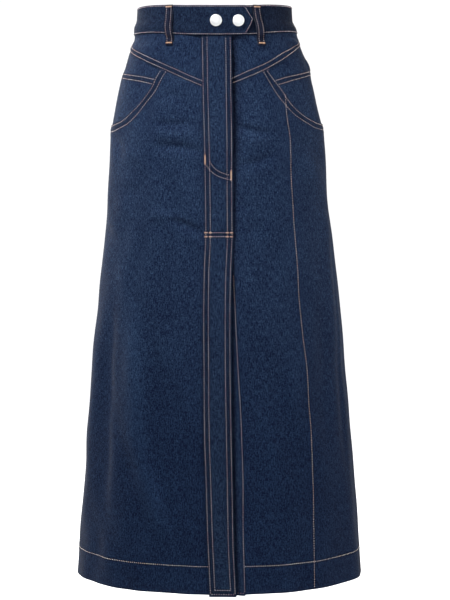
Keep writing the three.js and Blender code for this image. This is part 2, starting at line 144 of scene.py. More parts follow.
seams = {
    "side": 92,
    "yoke": [(-180, 100), (-150, 92), (-120, 74), (-92, 62), (-75, 69.5), (-55, 81), (-35, 96), (-20, 109.5),
             (-8, 121.5), (0, 124), (9, 118.5), (27, 101), (41, 87), (60, 71), (77, 61), (92, 56), (120, 72),
             (150, 92), (180, 100)],
    "bandTop": [(-180, 1.4), (-92, 2.6), (-58, 1.6), (-40, 2.2), (-19, 3.8), (0, 4.4), (21, 3.9), (45, 1.4),
                (70, 0.3), (92, 0.3), (180, 1.4)],
    "bandBottom": [(-180, 41), (-92, 42.1), (-58, 42.1), (-40, 43.6), (-19, 46.8), (0, 47.6), (21, 46.6),
                   (45, 42.4), (70, 39.8), (92, 39.6), (180, 41)],
    "hem": [(-180, 842.5), (-92, 842), (-60, 843), (-40, 843.8), (-20, 844.6), (0, 845), (20, 845.2),
            (40, 845), (60, 844), (92, 842.4), (180, 842.5)],
    "panel": [(100, 42.6), (200, 41.6), (345, 41.5), (480, 42.3), (570, 44), (700, 43.2), (845, 41)],
    "mouthLeft": [(34.5, 96.4), (38.3, 107), (41, 120), (47, 138), (54, 152.5), (66, 168), (92, 176)],
    "mouthRight": [(32.5, 95.4), (36.2, 109), (42, 128), (51.5, 153), (61.5, 165), (70, 170), (92, 173)],
    "coinLeft": [(34.5, 110), (54, 103), (92, 96.5)],
    "coinRight": [(32.5, 112), (47, 104.4), (92, 93.5)],
    # where the hip pieces and the coin pockets start, left and right
    "hipStart": (35.5, 33.5),
    "coinStart": (37.2, 35.4),
}

# the strip down the front: drop, centre, half width, the seam of the piece behind it, and how far
# before the strip's middle the left front ends
frontStrip = {
    "drop": [40, 140, 240, 333, 390, 440, 510, 610, 680, 770, 850],
    "centre": [-0.5, 0.6, 2.3, 3.2, 1.1, 0.3, 0.5, 1.4, 3.2, 5.3, 8.9],
    "half": [21.3, 21.1, 20.6, 20.3, 20.2, 20.1, 20.1, 20.2, 19.9, 19.3, 19.4],
    "behind": [14, 15, 18, 21, 25.3, 27.6, 31, 36.6, 38.8, 39.4, 41.6],
    "leftEnds": 8,
}

yokeDrop, bandTop, bandBottom, hemBottom = (
    roundCurve(seams[k]) for k in ("yoke", "bandTop", "bandBottom", "hem"))
panelSeam = curveThrough(seams["panel"])
stripCentre, stripHalf, underlapSeam = (
    curveThrough(list(zip(frontStrip["drop"], frontStrip[k]))) for k in ("centre", "half", "behind"))
mouths = {side: curveThrough(seams["mouth" + side]) for side in ("Left", "Right")}
coins = {side: curveThrough(seams["coin" + side]) for side in ("Left", "Right")}


def sideCurve(curves, angle):
    turned = np.abs(turnFrom(angle, 0)) / degree
    return np.where(np.sin(angle) < 0, curves["Left"](turned), curves["Right"](turned))


def meetsYoke(angle):
    return np.where(np.sin(angle) < 0, seams["mouthLeft"][0][0], seams["mouthRight"][0][0])


def mouthDrop(angle):
    return sideCurve(mouths, angle)


def coinDrop(angle):
    return sideCurve(coins, angle)


def frontTop(angle):
    return np.where(np.abs(angle) / degree < meetsYoke(angle), yokeDrop(angle), mouthDrop(angle))


# folds and creases in the cloth: angle and drop at one end and at the other,
# how far the middle bows out, width, and rise, which is negative for a trough
creases = [
    # left front, below the yoke and across the hip
    ((-38, 171), (-10, 172), -3, 5, -2.4),
    ((-38, 190), (-9, 193), 2, 8, 1.9),
    ((-36, 206), (-5, 216), 4, 5.5, -2.9),
    ((-33, 131), (-18, 140), 2, 6, -1.8),
    ((-37, 303), (-15, 313), 2, 7, 2.4),
    ((-26, 309), (-4, 336), 3, 5.5, -3.7),
    ((-60, 215), (-40, 226), 3, 9, 1.6),
    ((-66, 262), (-40, 268), -5, 11, -1.8),
    ((-80, 190), (-60, 214), 3, 8, -1.8),
    ((-82, 330), (-58, 352), 5, 12, -2.1),
    # right front
    ((8, 174), (31, 187), -3, 5, -3.4),
    ((9, 194), (27, 203), -2, 9, 0.9),
    ((8, 233), (33, 214), -5, 6, -2.4),
    ((9, 289), (17, 296), 1, 6, -1.8),
    ((16, 322), (23, 331), 1, 7, -1.6),
    ((11, 134), (17, 141), 1, 6, -1.6),
    ((46, 202), (70, 216), 4, 9, -1.8),
    ((50, 236), (78, 244), -4, 10, 1.6),
    ((58, 290), (84, 306), 4, 11, -1.8),
    ((14, 566), (22.8, 626), 3, 4.5, 1.6),
    ((22.8, 620), (25.6, 652), 1, 4, 1.4),
    # side hip and yokes
    ((58, 51), (75, 53), 1, 3.2, 1.8),
    ((58, 59), (73, 57), -1, 3.6, -1.4),
    ((-70, 56), (-52, 58), 1, 5, -0.9),
    ((-30, 62), (-16, 84), 3, 7, -1.1),
    ((84, 78), (98, 92), 0, 9, 2.8),
    # back, guessed like the front
    ((106, 132), (134, 152), 5, 9, -2.5),
    ((112, 158), (142, 176), 5, 9, 1.8),
    ((-104, 128), (-136, 156), -5, 9, -2.3),
    ((-108, 186), (-146, 196), -4, 11, -2.1),
    ((150, 218), (178, 206), 4, 10, -2.5),
    ((-150, 236), (-178, 220), -4, 10, -2.3),
    ((146, 244), (176, 236), 3, 10, 1.8),
    ((120, 262), (150, 282), 5, 11, -2.1),
    ((-122, 290), (-160, 276), 4, 12, -2.1),
    ((160, 112), (178, 120), 2, 7, -1.6),
    ((-158, 112), (-178, 121), -2, 7, -1.6),
    ((100, 118), (116, 240), 6, 12, -2.1),
    ((-100, 120), (-112, 250), -6, 12, -2.1),
    ((140, 420), (168, 452), 6, 14, -1.8),
    ((-140, 470), (-166, 500), -6, 14, -1.8),
]

# long soft folds that run down
longFolds = [
    ((-43, 440), (-37, 650), 4, 17, 7.2),
    ((-36, 590), (-20, 765), -8, 14, 6.4),
    ((-60, 420), (-54, 730), -6, 17, -5.4),
    ((-28, 510), (-27, 612), 2, 10, -3.6),
    ((-14.6, 645), (-14.2, 745), 2, 9, -2.8),
    ((-13, 732), (-5.6, 749), 1, 5, -1.4),
    ((-47, 330), (-51, 520), -4, 16, 1.4),
    ((79, 330), (70, 720), -4, 10, -2.9),
    ((90, 330), (86, 800), 3, 13, 2.6),
    ((58, 420), (56, 640), 3, 14, -1.6),
    ((30, 430), (33, 700), -5, 14, -1.4),
    ((120, 360), (124, 660), 8, 15, -3.2),
    ((146, 400), (142, 760), -6, 14, 2.7),
    ((168, 430), (170, 790), 5, 13, -2.9),
    ((-120, 380), (-118, 700), -7, 15, 2.9),
    ((-144, 360), (-140, 640), 6, 14, -3.2),
    ((-168, 440), (-165, 800), -5, 14, 2.7),
    ((-98, 420), (-94, 760), 4, 13, -2.4),
]

# small troughs of the pieces behind the strip, along its right edge
besideStrip = [
    ((10.2, 20), (9.6, 262), 0.5, 7, -3.4),
    ((9.9, 40), (8.6, 268), 0, 2.6, -2.8),
    ((8.6, 250), (8.1, 440), 0, 2.0, -1.6),
    ((9.2, 230), (9.0, 370), 0, 3.5, -1.8),
]

# painted shadow beside the strip's right edge: how dark, how wide, how wide down the slit, and the drops
# where it narrows
stripShadowShape = {"share": 0.85, "width": 10, "slitWidth": 4.5, "slitDrops": (200, 300)}
# painted shade on the right band: how dark at its front end, and the angles where it dies away
tabShadeShape = {"share": 0.55, "angles": (60, 150)}
clothRipple = {"waves": 16, "longest": 95, "shortest": 34, "lean": 0.55, "height": 0.2, "seed": 12,
               "drops": (60, 200)}
# a crease swells and dies away along its length, is steeper above, and dips again below
creaseShape = {"swell": (-0.12, 0.35), "die": (0.62, 1.12), "below": 1.25, "above": 0.85,
               "dip": 0.28, "dipAt": 2.1}
# what is left of the creases on the strip and in the waistband, and where they come back
creaseCalm = {"strip": 0.15, "stripSpan": (12, 27), "band": 0.1, "bandSpan": (-2, 12), "farOff": 200}


def creaseRise(creaseList, angle, drop):
    total = np.zeros(np.broadcast(angle, drop).shape)
    for (startAngle, startDrop), (endAngle, endDrop), bow, width, rise in creaseList:
        middle = (startAngle + endAngle) / 2 * degree
        startX = (startAngle * degree - middle) * reach(middle, startDrop)
        endX = (endAngle * degree - middle) * reach(middle, endDrop)
        length = math.hypot(endX - startX, endDrop - startDrop)
        alongX, alongY = (endX - startX) / length, (endDrop - startDrop) / length
        x = turnFrom(angle, middle) * reach(middle, drop) - startX
        y = drop - startDrop
        share = (x * alongX + y * alongY) / length
        across = y * alongX - x * alongY + bow * 4 * share * (1 - share)
        falloff = ease(share, *creaseShape["swell"]) * (1 - ease(share, *creaseShape["die"]))
        flank = np.where(across > 0, creaseShape["below"], creaseShape["above"]) * width
        dip = creaseShape["dip"] * bell(across - creaseShape["dipAt"] * flank, flank)
        total = total + rise * falloff * (bell(across, flank) - dip)
    return total


def fluteRise(angle, drop):
    total = 0
    for centre, spread, rise, top, full, hemShare in hemFlutes:
        share = np.minimum(np.abs(turnFrom(angle, centre * degree)) / (spread * degree), 1)
        kept = 1 - (1 - hemShare) * ease(drop, full, skirtForm["drop"][-1])
        total = total + rise * ease(drop, top, full) * kept * (0.5 + 0.5 * np.cos(np.pi * share))
    return total


def rippleRise(angle, drop):
    dice = np.random.default_rng(clothRipple["seed"])
    x = sideways(angle, drop)
    y = -halfDepth(angle, drop) * np.cos(angle)
    total = 0
    for _ in range(clothRipple["waves"]):
        wave = dice.uniform(clothRipple["shortest"], clothRipple["longest"])
        heading = dice.uniform(0, 2 * math.pi)
        lean = dice.uniform(-clothRipple["lean"], clothRipple["lean"])
        phase = dice.uniform(0, 2 * math.pi)
        along = x * math.cos(heading) + y * math.sin(heading) + drop * lean
        total = total + clothRipple["height"] * np.sin(2 * math.pi * along / wave + phase)
    return total


# everything the whole cloth does at once, calmer at the waistband and down the strip
def clothRise(angle, drop):
    atFront = np.cos(angle) > 0
    fromStrip = np.where(atFront, np.abs(sideways(angle, drop) - stripCentre(drop)), creaseCalm["farOff"])
    fromBand = drop - bandBottom(angle)
    onStrip = creaseCalm["strip"] + (1 - creaseCalm["strip"]) * ease(fromStrip, *creaseCalm["stripSpan"])
    onBand = creaseCalm["band"] + (1 - creaseCalm["band"]) * ease(fromBand, *creaseCalm["bandSpan"])
    ripple = rippleRise(angle, drop) * ease(drop, *clothRipple["drops"])
    moving = creaseRise(creases, angle, drop) + ripple + creaseRise(longFolds, angle, drop)
    return fluteRise(angle, drop) + onStrip * onBand * moving


# places on the cloth in metres; lift is in millimetres, straight out
def clothPoints(angle, drop, lift):
    angle, drop, lift = np.broadcast_arrays(angle, drop, lift)
    width, deep = halfWidth(angle, drop), halfDepth(angle, drop)
    outX, outY = np.sin(angle) / width, -np.cos(angle) / deep
    size = np.hypot(outX, outY)
    x = width * np.sin(angle) + lift * outX / size
    y = -deep * np.cos(angle) + lift * outY / size
    return np.stack([x, y, skirtForm["bandMiddleDrop"] - drop], axis=-1) * mm


# stitched lines, in millimetres and degrees
seamPuckers = {"height": 0.16, "pitch": 8.5, "wander": 1.6, "wanderPitch": 19, "falloff": 6.5,
               "strength": 0.6, "swing": 0.4, "swingPitch": 31}
seamGroove = {"depth": 0.28, "width": 1.1, "bulge": 0.3, "bulgeAt": 3.2, "bulgeWidth": 1.9}
plainSeam = {"depth": 0.45, "width": 1.0, "rise": 0.35, "allowance": (8, 10)}
needleGauge = 6.4  # between twin rows
edgeStitch = 1.8  # from a seam to its first row
rowSpacing = 3  # degrees between places on a row that follows a seam
slopeProbe = 0.01  # radians
bandPlaces = 240  # places down the dark band between twin rows
sideAngle, hemDepth = seams["side"], skirtForm["hemDepth"]


def byX(rows):
    return [(float(angleAt(x, drop)) / degree, drop) for x, drop in rows]


# a path of places about a millimetre apart through rows of angle and drop
def stitchPath(rows, straight=False):
    rows = np.array(rows, float)
    angle, drop = rows[:, 0] * degree, rows[:, 1]
    middle = (angle[:-1] + angle[1:]) / 2
    steps = np.hypot(np.diff(angle) * reach(middle, (drop[:-1] + drop[1:]) / 2), np.diff(drop))
    along = np.concatenate([[0], np.cumsum(steps)])
    fine = np.linspace(0, along[-1], max(2, int(along[-1]) + 1))
    if straight or len(rows) < 3:
        return np.stack([np.interp(fine, along, angle), np.interp(fine, along, drop)], axis=1), fine
    return np.stack([curveThrough(list(zip(along, angle)))(fine),
                     curveThrough(list(zip(along, drop)))(fine)], axis=1), fine


# rows that follow a seam that runs round, moved down by gap square to it
def besideSeam(seamDrop, startAngle, endAngle, gap):
    angles = np.linspace(startAngle, endAngle, max(3, int(abs(endAngle - startAngle) / rowSpacing)))
    turned = angles * degree
    drops = seamDrop(turned)
    fall = seamDrop(turned + slopeProbe) - seamDrop(turned - slopeProbe)
    slope = fall / (2 * slopeProbe * reach(turned, drops))
    return list(zip(angles, drops + gap * np.sqrt(1 + slope ** 2)))


lines = {
    "yokeLeftUpper": [(-92, 53.8), (-84.8, 58.1), (-56, 72.2), (-28.2, 93.2), (-11, 110.3), (-8.3, 112.6)],
    "yokeLeftLower": [(-92, 60.2), (-80.2, 65.5), (-57, 77.8), (-34.4, 94.2), (-9.9, 118.1), (-8.3, 119.7)],
    "yokeRightUpper": [(9.0, 109.3), (19.7, 98.1), (32.2, 86.8), (48.6, 70.9), (81, 53.7), (92, 49.2)],
    "yokeRightLower": [(9.2, 115.9), (27.2, 98.7), (41.4, 84.7), (60, 68.8), (77.4, 59.2), (92, 54.2)],
    "mouthLeftInner": [(-35.2, 97.3), (-37.6, 107.3), (-39.7, 120), (-45.7, 139.1), (-52.5, 154.2),
                       (-65.4, 170), (-86.8, 176.9), (-92, 177.8)],
    "mouthLeftOuter": [(-31.4, 98.2), (-34.4, 111.3), (-37.9, 127.9), (-43.9, 144.3), (-51.4, 164),
                       (-59.2, 174.1), (-78.4, 183.5), (-92, 184.6)],
    "mouthRightInner": [(31.5, 97.9), (35.1, 110), (41, 129), (42.6, 135.3), (50.4, 154.3), (60.9, 166.9),
                        (69.5, 171.9), (81.6, 174.4), (92, 175)],
    "mouthRightOuter": [(28.9, 98.4), (32.8, 115.3), (36.8, 131.8), (42.3, 147.6), (49.3, 162.2),
                        (59.6, 173.4), (67.8, 178.9), (78.8, 181), (92, 181.4)],
    "coinLeftUpper": [(-91.5, 98.6), (-87, 98.9), (-54.2, 104.6), (-38.6, 110.1)],
    "coinLeftLower": [(-91.5, 104.4), (-81.8, 105.1), (-53.2, 111.2), (-40.3, 116.4)],
    "coinRightUpper": [(37.0, 111.8), (46.8, 106.2), (85.1, 95.7), (91.5, 95.2)],
    "coinRightLower": [(38.6, 117.3), (55.1, 108.9), (80.5, 101.4), (91.5, 100.6)],
    "panelRight": byX([(98.2, 130), (100.2, 148), (103.3, 175), (106.5, 201), (107.8, 254), (110.1, 292),
                       (113.5, 345), (119, 418), (124.1, 478), (131.2, 543), (134.8, 591), (138.3, 663),
                       (140.3, 708), (141, 806), (141.9, 843.5)]),
    "facing": byX([(24, 390), (26.4, 439), (29.7, 510), (35.4, 609), (37.5, 680), (38.1, 769), (39.1, 804),
                   (40.2, 842.5)]),
    "stripLeftOuter": byX([(-20, 50), (-19.5, 98), (-18.6, 140), (-16.5, 226), (-15.3, 333), (-17.5, 388),
                           (-18.1, 439), (-17.8, 510), (-17.1, 609), (-14.9, 680), (-12.1, 769), (-10.4, 804),
                           (-8.7, 843.6)]),
    "stripLeftInner": byX([(-13.6, 50), (-13.1, 98), (-12.2, 140), (-10.1, 226), (-8.9, 333), (-11.1, 388),
                           (-11.7, 439), (-11.4, 510), (-10.7, 609), (-8.5, 680), (-5.7, 769), (-4.1, 804),
                           (-2.6, 837.8)]),
    "stripRightOuter": byX([(19, 50), (19.6, 98), (20, 140), (21, 226), (21.7, 333), (19.4, 388), (18.6, 439),
                            (18.6, 510), (20, 609), (21.4, 680), (22.8, 769), (24.3, 804), (26.2, 843.6)]),
    "stripRightInner": byX([(12.6, 50), (13.2, 98), (13.6, 140), (14.6, 226), (15.3, 333), (13, 388),
                            (12.2, 439), (12.2, 510), (13.6, 609), (15, 680), (16.4, 769), (17.9, 804),
                            (19.6, 837.8)]),
    "stripHemOuter": byX([(-8.7, 843.8), (26.2, 843.8)]),
    "stripHemInner": byX([(-2.6, 837.9), (19.6, 837.9)]),
    "hookUpper": byX([(-10.4, 227.8), (-4.7, 235.8), (2.6, 242.3), (12.7, 246), (21.2, 248.2)]),
    "hookLower": byX([(-15, 232.9), (-9.1, 240.9), (-1.8, 246.9), (5.4, 250.6), (14.1, 252.9),
                      (21.2, 254.7)]),
    "barUpper": byX([(-15, 329.6), (21.6, 329.6)]),
    "barLower": byX([(-15, 335.3), (21.6, 335.3)]),
    "underlapHem": byX([(29.6, 843.2), (39.6, 843.2)]),
    "backYokeLeftLower": besideSeam(yokeDrop, -sideAngle, -180, -edgeStitch),
    "backYokeLeftUpper": besideSeam(yokeDrop, -sideAngle, -180, -edgeStitch - needleGauge),
    "backYokeRightLower": besideSeam(yokeDrop, sideAngle, 180, -edgeStitch),
    "backYokeRightUpper": besideSeam(yokeDrop, sideAngle, 180, -edgeStitch - needleGauge),
    "hemLeft": besideSeam(hemBottom, -sideAngle, -3.4, -hemDepth),
    "hemRight": besideSeam(hemBottom, 10.9, sideAngle, -hemDepth),
    "hemBackLeft": besideSeam(hemBottom, -sideAngle, -180, -hemDepth),
    "hemBackRight": besideSeam(hemBottom, sideAngle, 180, -hemDepth),
}


def centreBackLine(gap):
    return [(180 - gap / float(reach(math.pi, drop)) / degree, drop) for drop in (102, 240, 420, 620, 842)]


lines["centreBackInner"] = centreBackLine(edgeStitch)
lines["centreBackOuter"] = centreBackLine(edgeStitch + needleGauge)

straightLines = ("stripHemOuter", "stripHemInner", "barUpper", "barLower")
paths = {name: stitchPath(rows, straight=name in straightLines) for name, rows in lines.items()}


# the dark band between two rows of stitches runs along their middle
def middlePath(first, second):
    shares = np.linspace(0, 1, bandPlaces)
    both = [np.stack([np.interp(shares * along[-1], along, path[:, k]) for k in (0, 1)], axis=1)
            for path, along in (first, second)]
    return (both[0] + both[1]) / 2, shares * first[1][-1]


pairs = [(name, name.replace(first, second)) for first, second in (("Upper", "Lower"), ("Inner", "Outer"))
         for name in paths if first in name]
middlePaths = {first: middlePath(paths[first], paths[second]) for first, second in pairs}

# plain seams pucker too, though nothing is stitched on their outside
plainSeams = {
    "sideLeft": [(-sideAngle, drop) for drop in (60, 200, 420, 640, 842)],
    "sideRight": [(sideAngle, drop) for drop in (56, 200, 420, 640, 842)],
}
plainPaths = {name: stitchPath(rows) for name, rows in plainSeams.items()}


def seamTree(pathTable):
    places = [clothPoints(path[:, 0], path[:, 1], 0) for path, _ in pathTable.values()]
    alongs = np.concatenate([along for _, along in pathTable.values()])
    places = np.concatenate(places)
    tree = kdtree.KDTree(len(places))
    for i, place in enumerate(places):
        tree.insert(place, i)
    tree.balance()
    return tree, alongs


stitchTree, stitchAlongs = seamTree(paths)
plainTree, plainAlongs = seamTree(plainPaths)
middleTree, middleAlongs = seamTree(middlePaths)


def nearestSeam(tree, alongs, angle, drop):
    places = clothPoints(angle, drop, 0)
    found = [tree.find(place)[1:] for place in places.reshape(-1, 3).tolist()]
    which, away = (np.array(column) for column in zip(*found))
    return away.reshape(angle.shape) / mm, alongs[which].reshape(angle.shape)


def puckerRise(along, away):
    wander = seamPuckers["wander"] * np.sin(along / seamPuckers["wanderPitch"])
    wave = 2 * math.pi * along / seamPuckers["pitch"] + wander
    strength = seamPuckers["strength"] + seamPuckers["swing"] * np.sin(along / seamPuckers["swingPitch"] + 1)
    return seamPuckers["height"] * strength * np.sin(wave) * np.exp(-away / seamPuckers["falloff"])


def seamRise(along, away):
    groove = -seamGroove["depth"] * bell(away, seamGroove["width"])
    bulge = seamGroove["bulge"] * bell(away - seamGroove["bulgeAt"], seamGroove["bulgeWidth"])
    return groove + bulge + puckerRise(along, away)


# the allowances pressed open under a plain seam stand up a little on both sides of it
def plainRise(along, away):
    groove = -plainSeam["depth"] * bell(away, plainSeam["width"])
    allowance = plainSeam["rise"] * (1 - ease(away, *plainSeam["allowance"]))
    return groove + allowance + puckerRise(along, away)


# cloth pieces: thicknesses and gaps in millimetres, and how thin the cloth is at its very edge
cloth = {"panel": 1.2, "pocket": 1.0, "strip": 2.0, "band": 2.6, "loop": 1.8, "seamGap": 0.04,
         "layerGap": 0.3, "edgeShare": 0.64}
# rows and columns stand close together at the edges
closeRows = np.array([0, 0.13, 0.4, 1.0, 2.2])
# the grid's top and bottom edges are found in a few rounds from these drops
gridStart = {"top": 40.0, "bottom": 840.0, "rounds": 12, "leastStep": 0.05}
# how worn and how dark each place is: strength, and width in millimetres
toneShape = {
    "wornEdge": (0.5, 0.9), "wornRise": 0.19, "stitched": (0.85, 1.2), "between": (0.55, 3.0),
    "edge": (0.6, 0.4), "plain": (0.8, 0.9),
    # darker by the yoke, and darker towards the hem as painted shade where the light falls off: strength, the
    # drop without it and the drop with all of it
    "falloffShades": [(0.45, 160, 60), (0.35, 60, 420), (0.65, 380, 680)],
}


# distances across a piece, close together at both ends
def spaced(length, step):
    count = max(2, int(round((length - 2 * closeRows[-1]) / step)) + 1)
    body = np.linspace(closeRows[-1], length - closeRows[-1], count)
    return np.concatenate([closeRows[:-1], body, length - closeRows[:-1][::-1]])


def columnAngles(left, right, share, drop):
    angle = left(drop) * (1 - share) + right(drop) * share
    return angle + cloth["seamGap"] / 2 * (1 - 2 * share) / reach(angle, drop)


# a grid of angles and drops between four edges, and how far each place is from them
def clothGrid(left, right, top, bottom, width, step, rowStep):
    share = spaced(width, step) / width
    topDrop, bottomDrop = (np.full(len(share), gridStart[k]) for k in ("top", "bottom"))
    for _ in range(gridStart["rounds"]):
        topDrop = top(columnAngles(left, right, share, topDrop))
        bottomDrop = bottom(columnAngles(left, right, share, bottomDrop))
    topDrop, bottomDrop = topDrop + cloth["seamGap"] / 2, bottomDrop - cloth["seamGap"] / 2
    rowShare = np.linspace(0, 1, max(3, int(np.max(bottomDrop - topDrop) / rowStep)))
    start, end = topDrop[:, None] + closeRows[-1], bottomDrop[:, None] - closeRows[-1]
    drop = np.concatenate([topDrop[:, None] + closeRows[:-1], start + (end - start) * rowShare,
                           bottomDrop[:, None] - closeRows[:-1][::-1]], axis=1)
    angle = columnAngles(left, right, share[:, None], drop)
    around = reach(angle, drop)
    sideStep = np.maximum(np.gradient(angle[:, 0] * around[:, 0]), gridStart["leastStep"])
    slope = np.gradient(topDrop) / sideStep
    lean = 1 / np.sqrt(1 + slope ** 2)
    return {
        "angle": angle,
        "drop": drop,
        "fromTop": (drop - topDrop[:, None]) * lean[:, None],
        "fromBottom": bottomDrop[:, None] - drop,
        "fromSides": np.minimum((angle - angle[:1]) * around, (angle[-1:] - angle) * around),
    }


def roundedEdge(grid, thickness):
    radius = thickness / 2
    full = 1
    for side in ("fromTop", "fromBottom", "fromSides"):
        share = np.clip(grid[side] / radius, 0, 1)
        full = full * np.maximum(np.sqrt(1 - (1 - share) ** 2), cloth["edgeShare"])
    return full


def placed(name, data):
    thing = bpy.data.objects.new(name, data)
    bpy.context.scene.collection.objects.link(thing)
    return thing


def meshFromGrid(name, outer, inner, grid, masks, outsideMaterial, insideMaterial):
    columns, rows = outer.shape[:2]
    index = np.arange(columns * rows).reshape(columns, rows)
    a, b, c, d = index[:-1, :-1], index[:-1, 1:], index[1:, 1:], index[1:, :-1]
    outsideFaces = np.stack([a, b, c, d], axis=-1).reshape(-1, 4)
    insideFaces = outsideFaces[:, ::-1] + columns * rows
    rim = np.concatenate([index[0, :-1], index[:-1, -1], index[-1, :0:-1], index[:0:-1, 0]])
    ahead = np.roll(rim, -1)
    rimFaces = np.stack([ahead, rim, rim + columns * rows, ahead + columns * rows], axis=-1)
    faces = np.concatenate([outsideFaces, rimFaces, insideFaces])
    materialIndex = np.repeat([0, 1], [len(outsideFaces) + len(rimFaces), len(insideFaces)])
    points = np.concatenate([outer.reshape(-1, 3), inner.reshape(-1, 3)])
    mesh = bpy.data.meshes.new(name)
    mesh.from_pydata(points.tolist(), [], faces.tolist())
    mesh.polygons.foreach_set("material_index", materialIndex)
    mesh.materials.append(outsideMaterial)
    mesh.materials.append(insideMaterial)
    # the cloth's own grain: metres across from the middle, and metres down
    steps = np.linalg.norm(np.diff(outer, axis=0), axis=-1)
    across = np.concatenate([np.zeros((1, rows)), np.cumsum(steps, axis=0)])
    across = across - across[columns // 2]
    grain = np.stack([across, grid["drop"] * mm], axis=-1).reshape(-1, 2)
    corners = np.zeros(len(mesh.loops), int)
    mesh.loops.foreach_get("vertex_index", corners)
    uvLayer = mesh.uv_layers.new(name="clothGrain")
    uvLayer.data.foreach_set("uv", grain[corners % (columns * rows)].ravel())
    for maskName, mask in masks.items():
        values = np.tile(np.broadcast_to(mask, (columns, rows)).ravel(), 2)
        mesh.attributes.new(maskName, "FLOAT", "POINT").data.foreach_set("value", values.astype(np.float32))
    mesh.shade_smooth()
    return placed(name, mesh)


def outsideArea(points):
    across = np.diff(points, axis=0)[:, :-1]
    down = np.diff(points, axis=1)[:-1]
    return float(np.linalg.norm(np.cross(across, down), axis=-1).sum())


def finishPiece(piece, node):
    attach(piece, "root")
    if node:
        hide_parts(node)


# painted shadow: the cloth beside the strip's right edge is darker, in a narrower band down the slit
def stripShadowTone(angle, drop):
    pastStrip = sideways(angle, drop) - stripCentre(drop) - stripHalf(drop)
    narrowing = (stripShadowShape["slitWidth"] - stripShadowShape["width"]) * ease(drop, *stripShadowShape["slitDrops"])
    return stripShadowShape["share"] * bell(pastStrip, stripShadowShape["width"] + narrowing)


# painted shade: the right band is darker at its front, where its end runs under the tab, and dies away
# towards the back
def tabShadeTone(angle, drop):
    return tabShadeShape["share"] * (1 - ease(angle / degree, *tabShadeShape["angles"]))


def noTone(angle, drop):
    return 0


def toned(key, away):
    strength, width = toneShape[key]
    return strength * bell(away, width)


# one piece of cloth, with its seams' relief pressed into it
def clothPiece(name, node, slot, grid, lift, thickness, materials, relief=1.0, hem=False, troughs=(),
               paintedShade=noTone):
    angle, drop = grid["angle"], grid["drop"]
    stitched, stitchAlong = nearestSeam(stitchTree, stitchAlongs, angle, drop)
    plain, plainAlong = nearestSeam(plainTree, plainAlongs, angle, drop)
    between, _ = nearestSeam(middleTree, middleAlongs, angle, drop)
    rise = clothRise(angle, drop) + creaseRise(troughs, angle, drop)
    rise = rise + relief * (seamRise(stitchAlong, stitched) + plainRise(plainAlong, plain))
    middle = lift(angle, drop) - thickness / 2 + rise
    half = thickness / 2 * roundedEdge(grid, thickness)
    hemTop = hemBottom(angle) - hemDepth
    turnedUp = cloth["panel"] * ease(drop, hemTop - 1, hemTop + 1) if hem else 0
    edge = np.minimum(np.minimum(grid["fromTop"], grid["fromBottom"]), grid["fromSides"])
    worn = toned("wornEdge", edge) + toneShape["wornRise"] * (rise - fluteRise(angle, drop))
    # the shade mask darkens seams' grooves, between twin rows, edges and plain seams, and adds any painted
    # shade the piece is given
    dark = (toned("stitched", stitched) + toned("between", between) + toned("edge", edge)
            + toned("plain", plain) + paintedShade(angle, drop))
    # painted shade: darker towards the hem where the light falls off, and darker by the yoke
    falloff = 1 - sum(strength * ease(drop, none, full) for strength, none, full in toneShape["falloffShades"])
    masks = {"wear": np.clip(worn, 0, 1), "shade": np.clip(dark, 0, 1), "falloff": falloff}
    outer = clothPoints(angle, drop, middle + half)
    inner = clothPoints(angle, drop, middle - half - turnedUp)
    piece = meshFromGrid(name, outer, inner, grid, masks, *materials)
    finishPiece(piece, node)
    length, width = (np.linalg.norm(np.diff(outer, axis=k), axis=-1).sum(axis=k).max() for k in (1, 0))
    area, faceCount = outsideArea(outer), len(piece.data.polygons)
    print(f"  {name}: {width:.3f} x {length:.3f} m, {area:.4f} m2, {faceCount} faces")


# an edge down the cloth at one angle, and an edge round it at one drop
def at(angle):
    return lambda drop: np.full(np.shape(drop), angle * degree)


def level(drop):
    return lambda angle: np.full(np.shape(angle), drop)


def leftFrontEdge(drop):
    return angleAt(stripCentre(drop) - frontStrip["leftEnds"], drop)


def underlapEdge(drop):
    return angleAt(underlapSeam(drop), drop)


def panelEdge(drop):
    return panelSeam(drop) * degree


yokeLap = {"dip": 0.45, "dipSpan": (1, 7), "rise": 0.25, "riseSpan": (-12, -7), "corner": 3}
pocketStep = {"rise": 1.5, "reach": 14, "underlap": 10, "width": 125}


def pocketLift(angle, drop):
    turned = np.abs(angle) / degree
    inYoke = turned < meetsYoke(angle)
    past = np.where(inYoke, (meetsYoke(angle) - turned) * degree * reach(angle, drop), 0)
    below = np.where(inYoke, drop - frontTop(angle), np.maximum(0, drop - mouthDrop(angle)))
    return pocketStep["rise"] * np.exp(-(past ** 2 + below ** 2) / pocketStep["reach"] ** 2)


# the panels dip where the yoke laps over them
def frontLift(angle, drop):
    inYoke = 1 - ease(np.abs(angle) / degree, meetsYoke(angle) - yokeLap["corner"], meetsYoke(angle))
    dip = 1 - ease(drop - frontTop(angle), *yokeLap["dipSpan"])
    return pocketLift(angle, drop) - yokeLap["dip"] * inYoke * dip


def backLift(angle, drop):
    return -yokeLap["dip"] * (1 - ease(drop - yokeDrop(angle), *yokeLap["dipSpan"]))


def yokeLift(angle, drop):
    return yokeLap["rise"] * ease(drop - yokeDrop(angle), *yokeLap["riseSpan"])


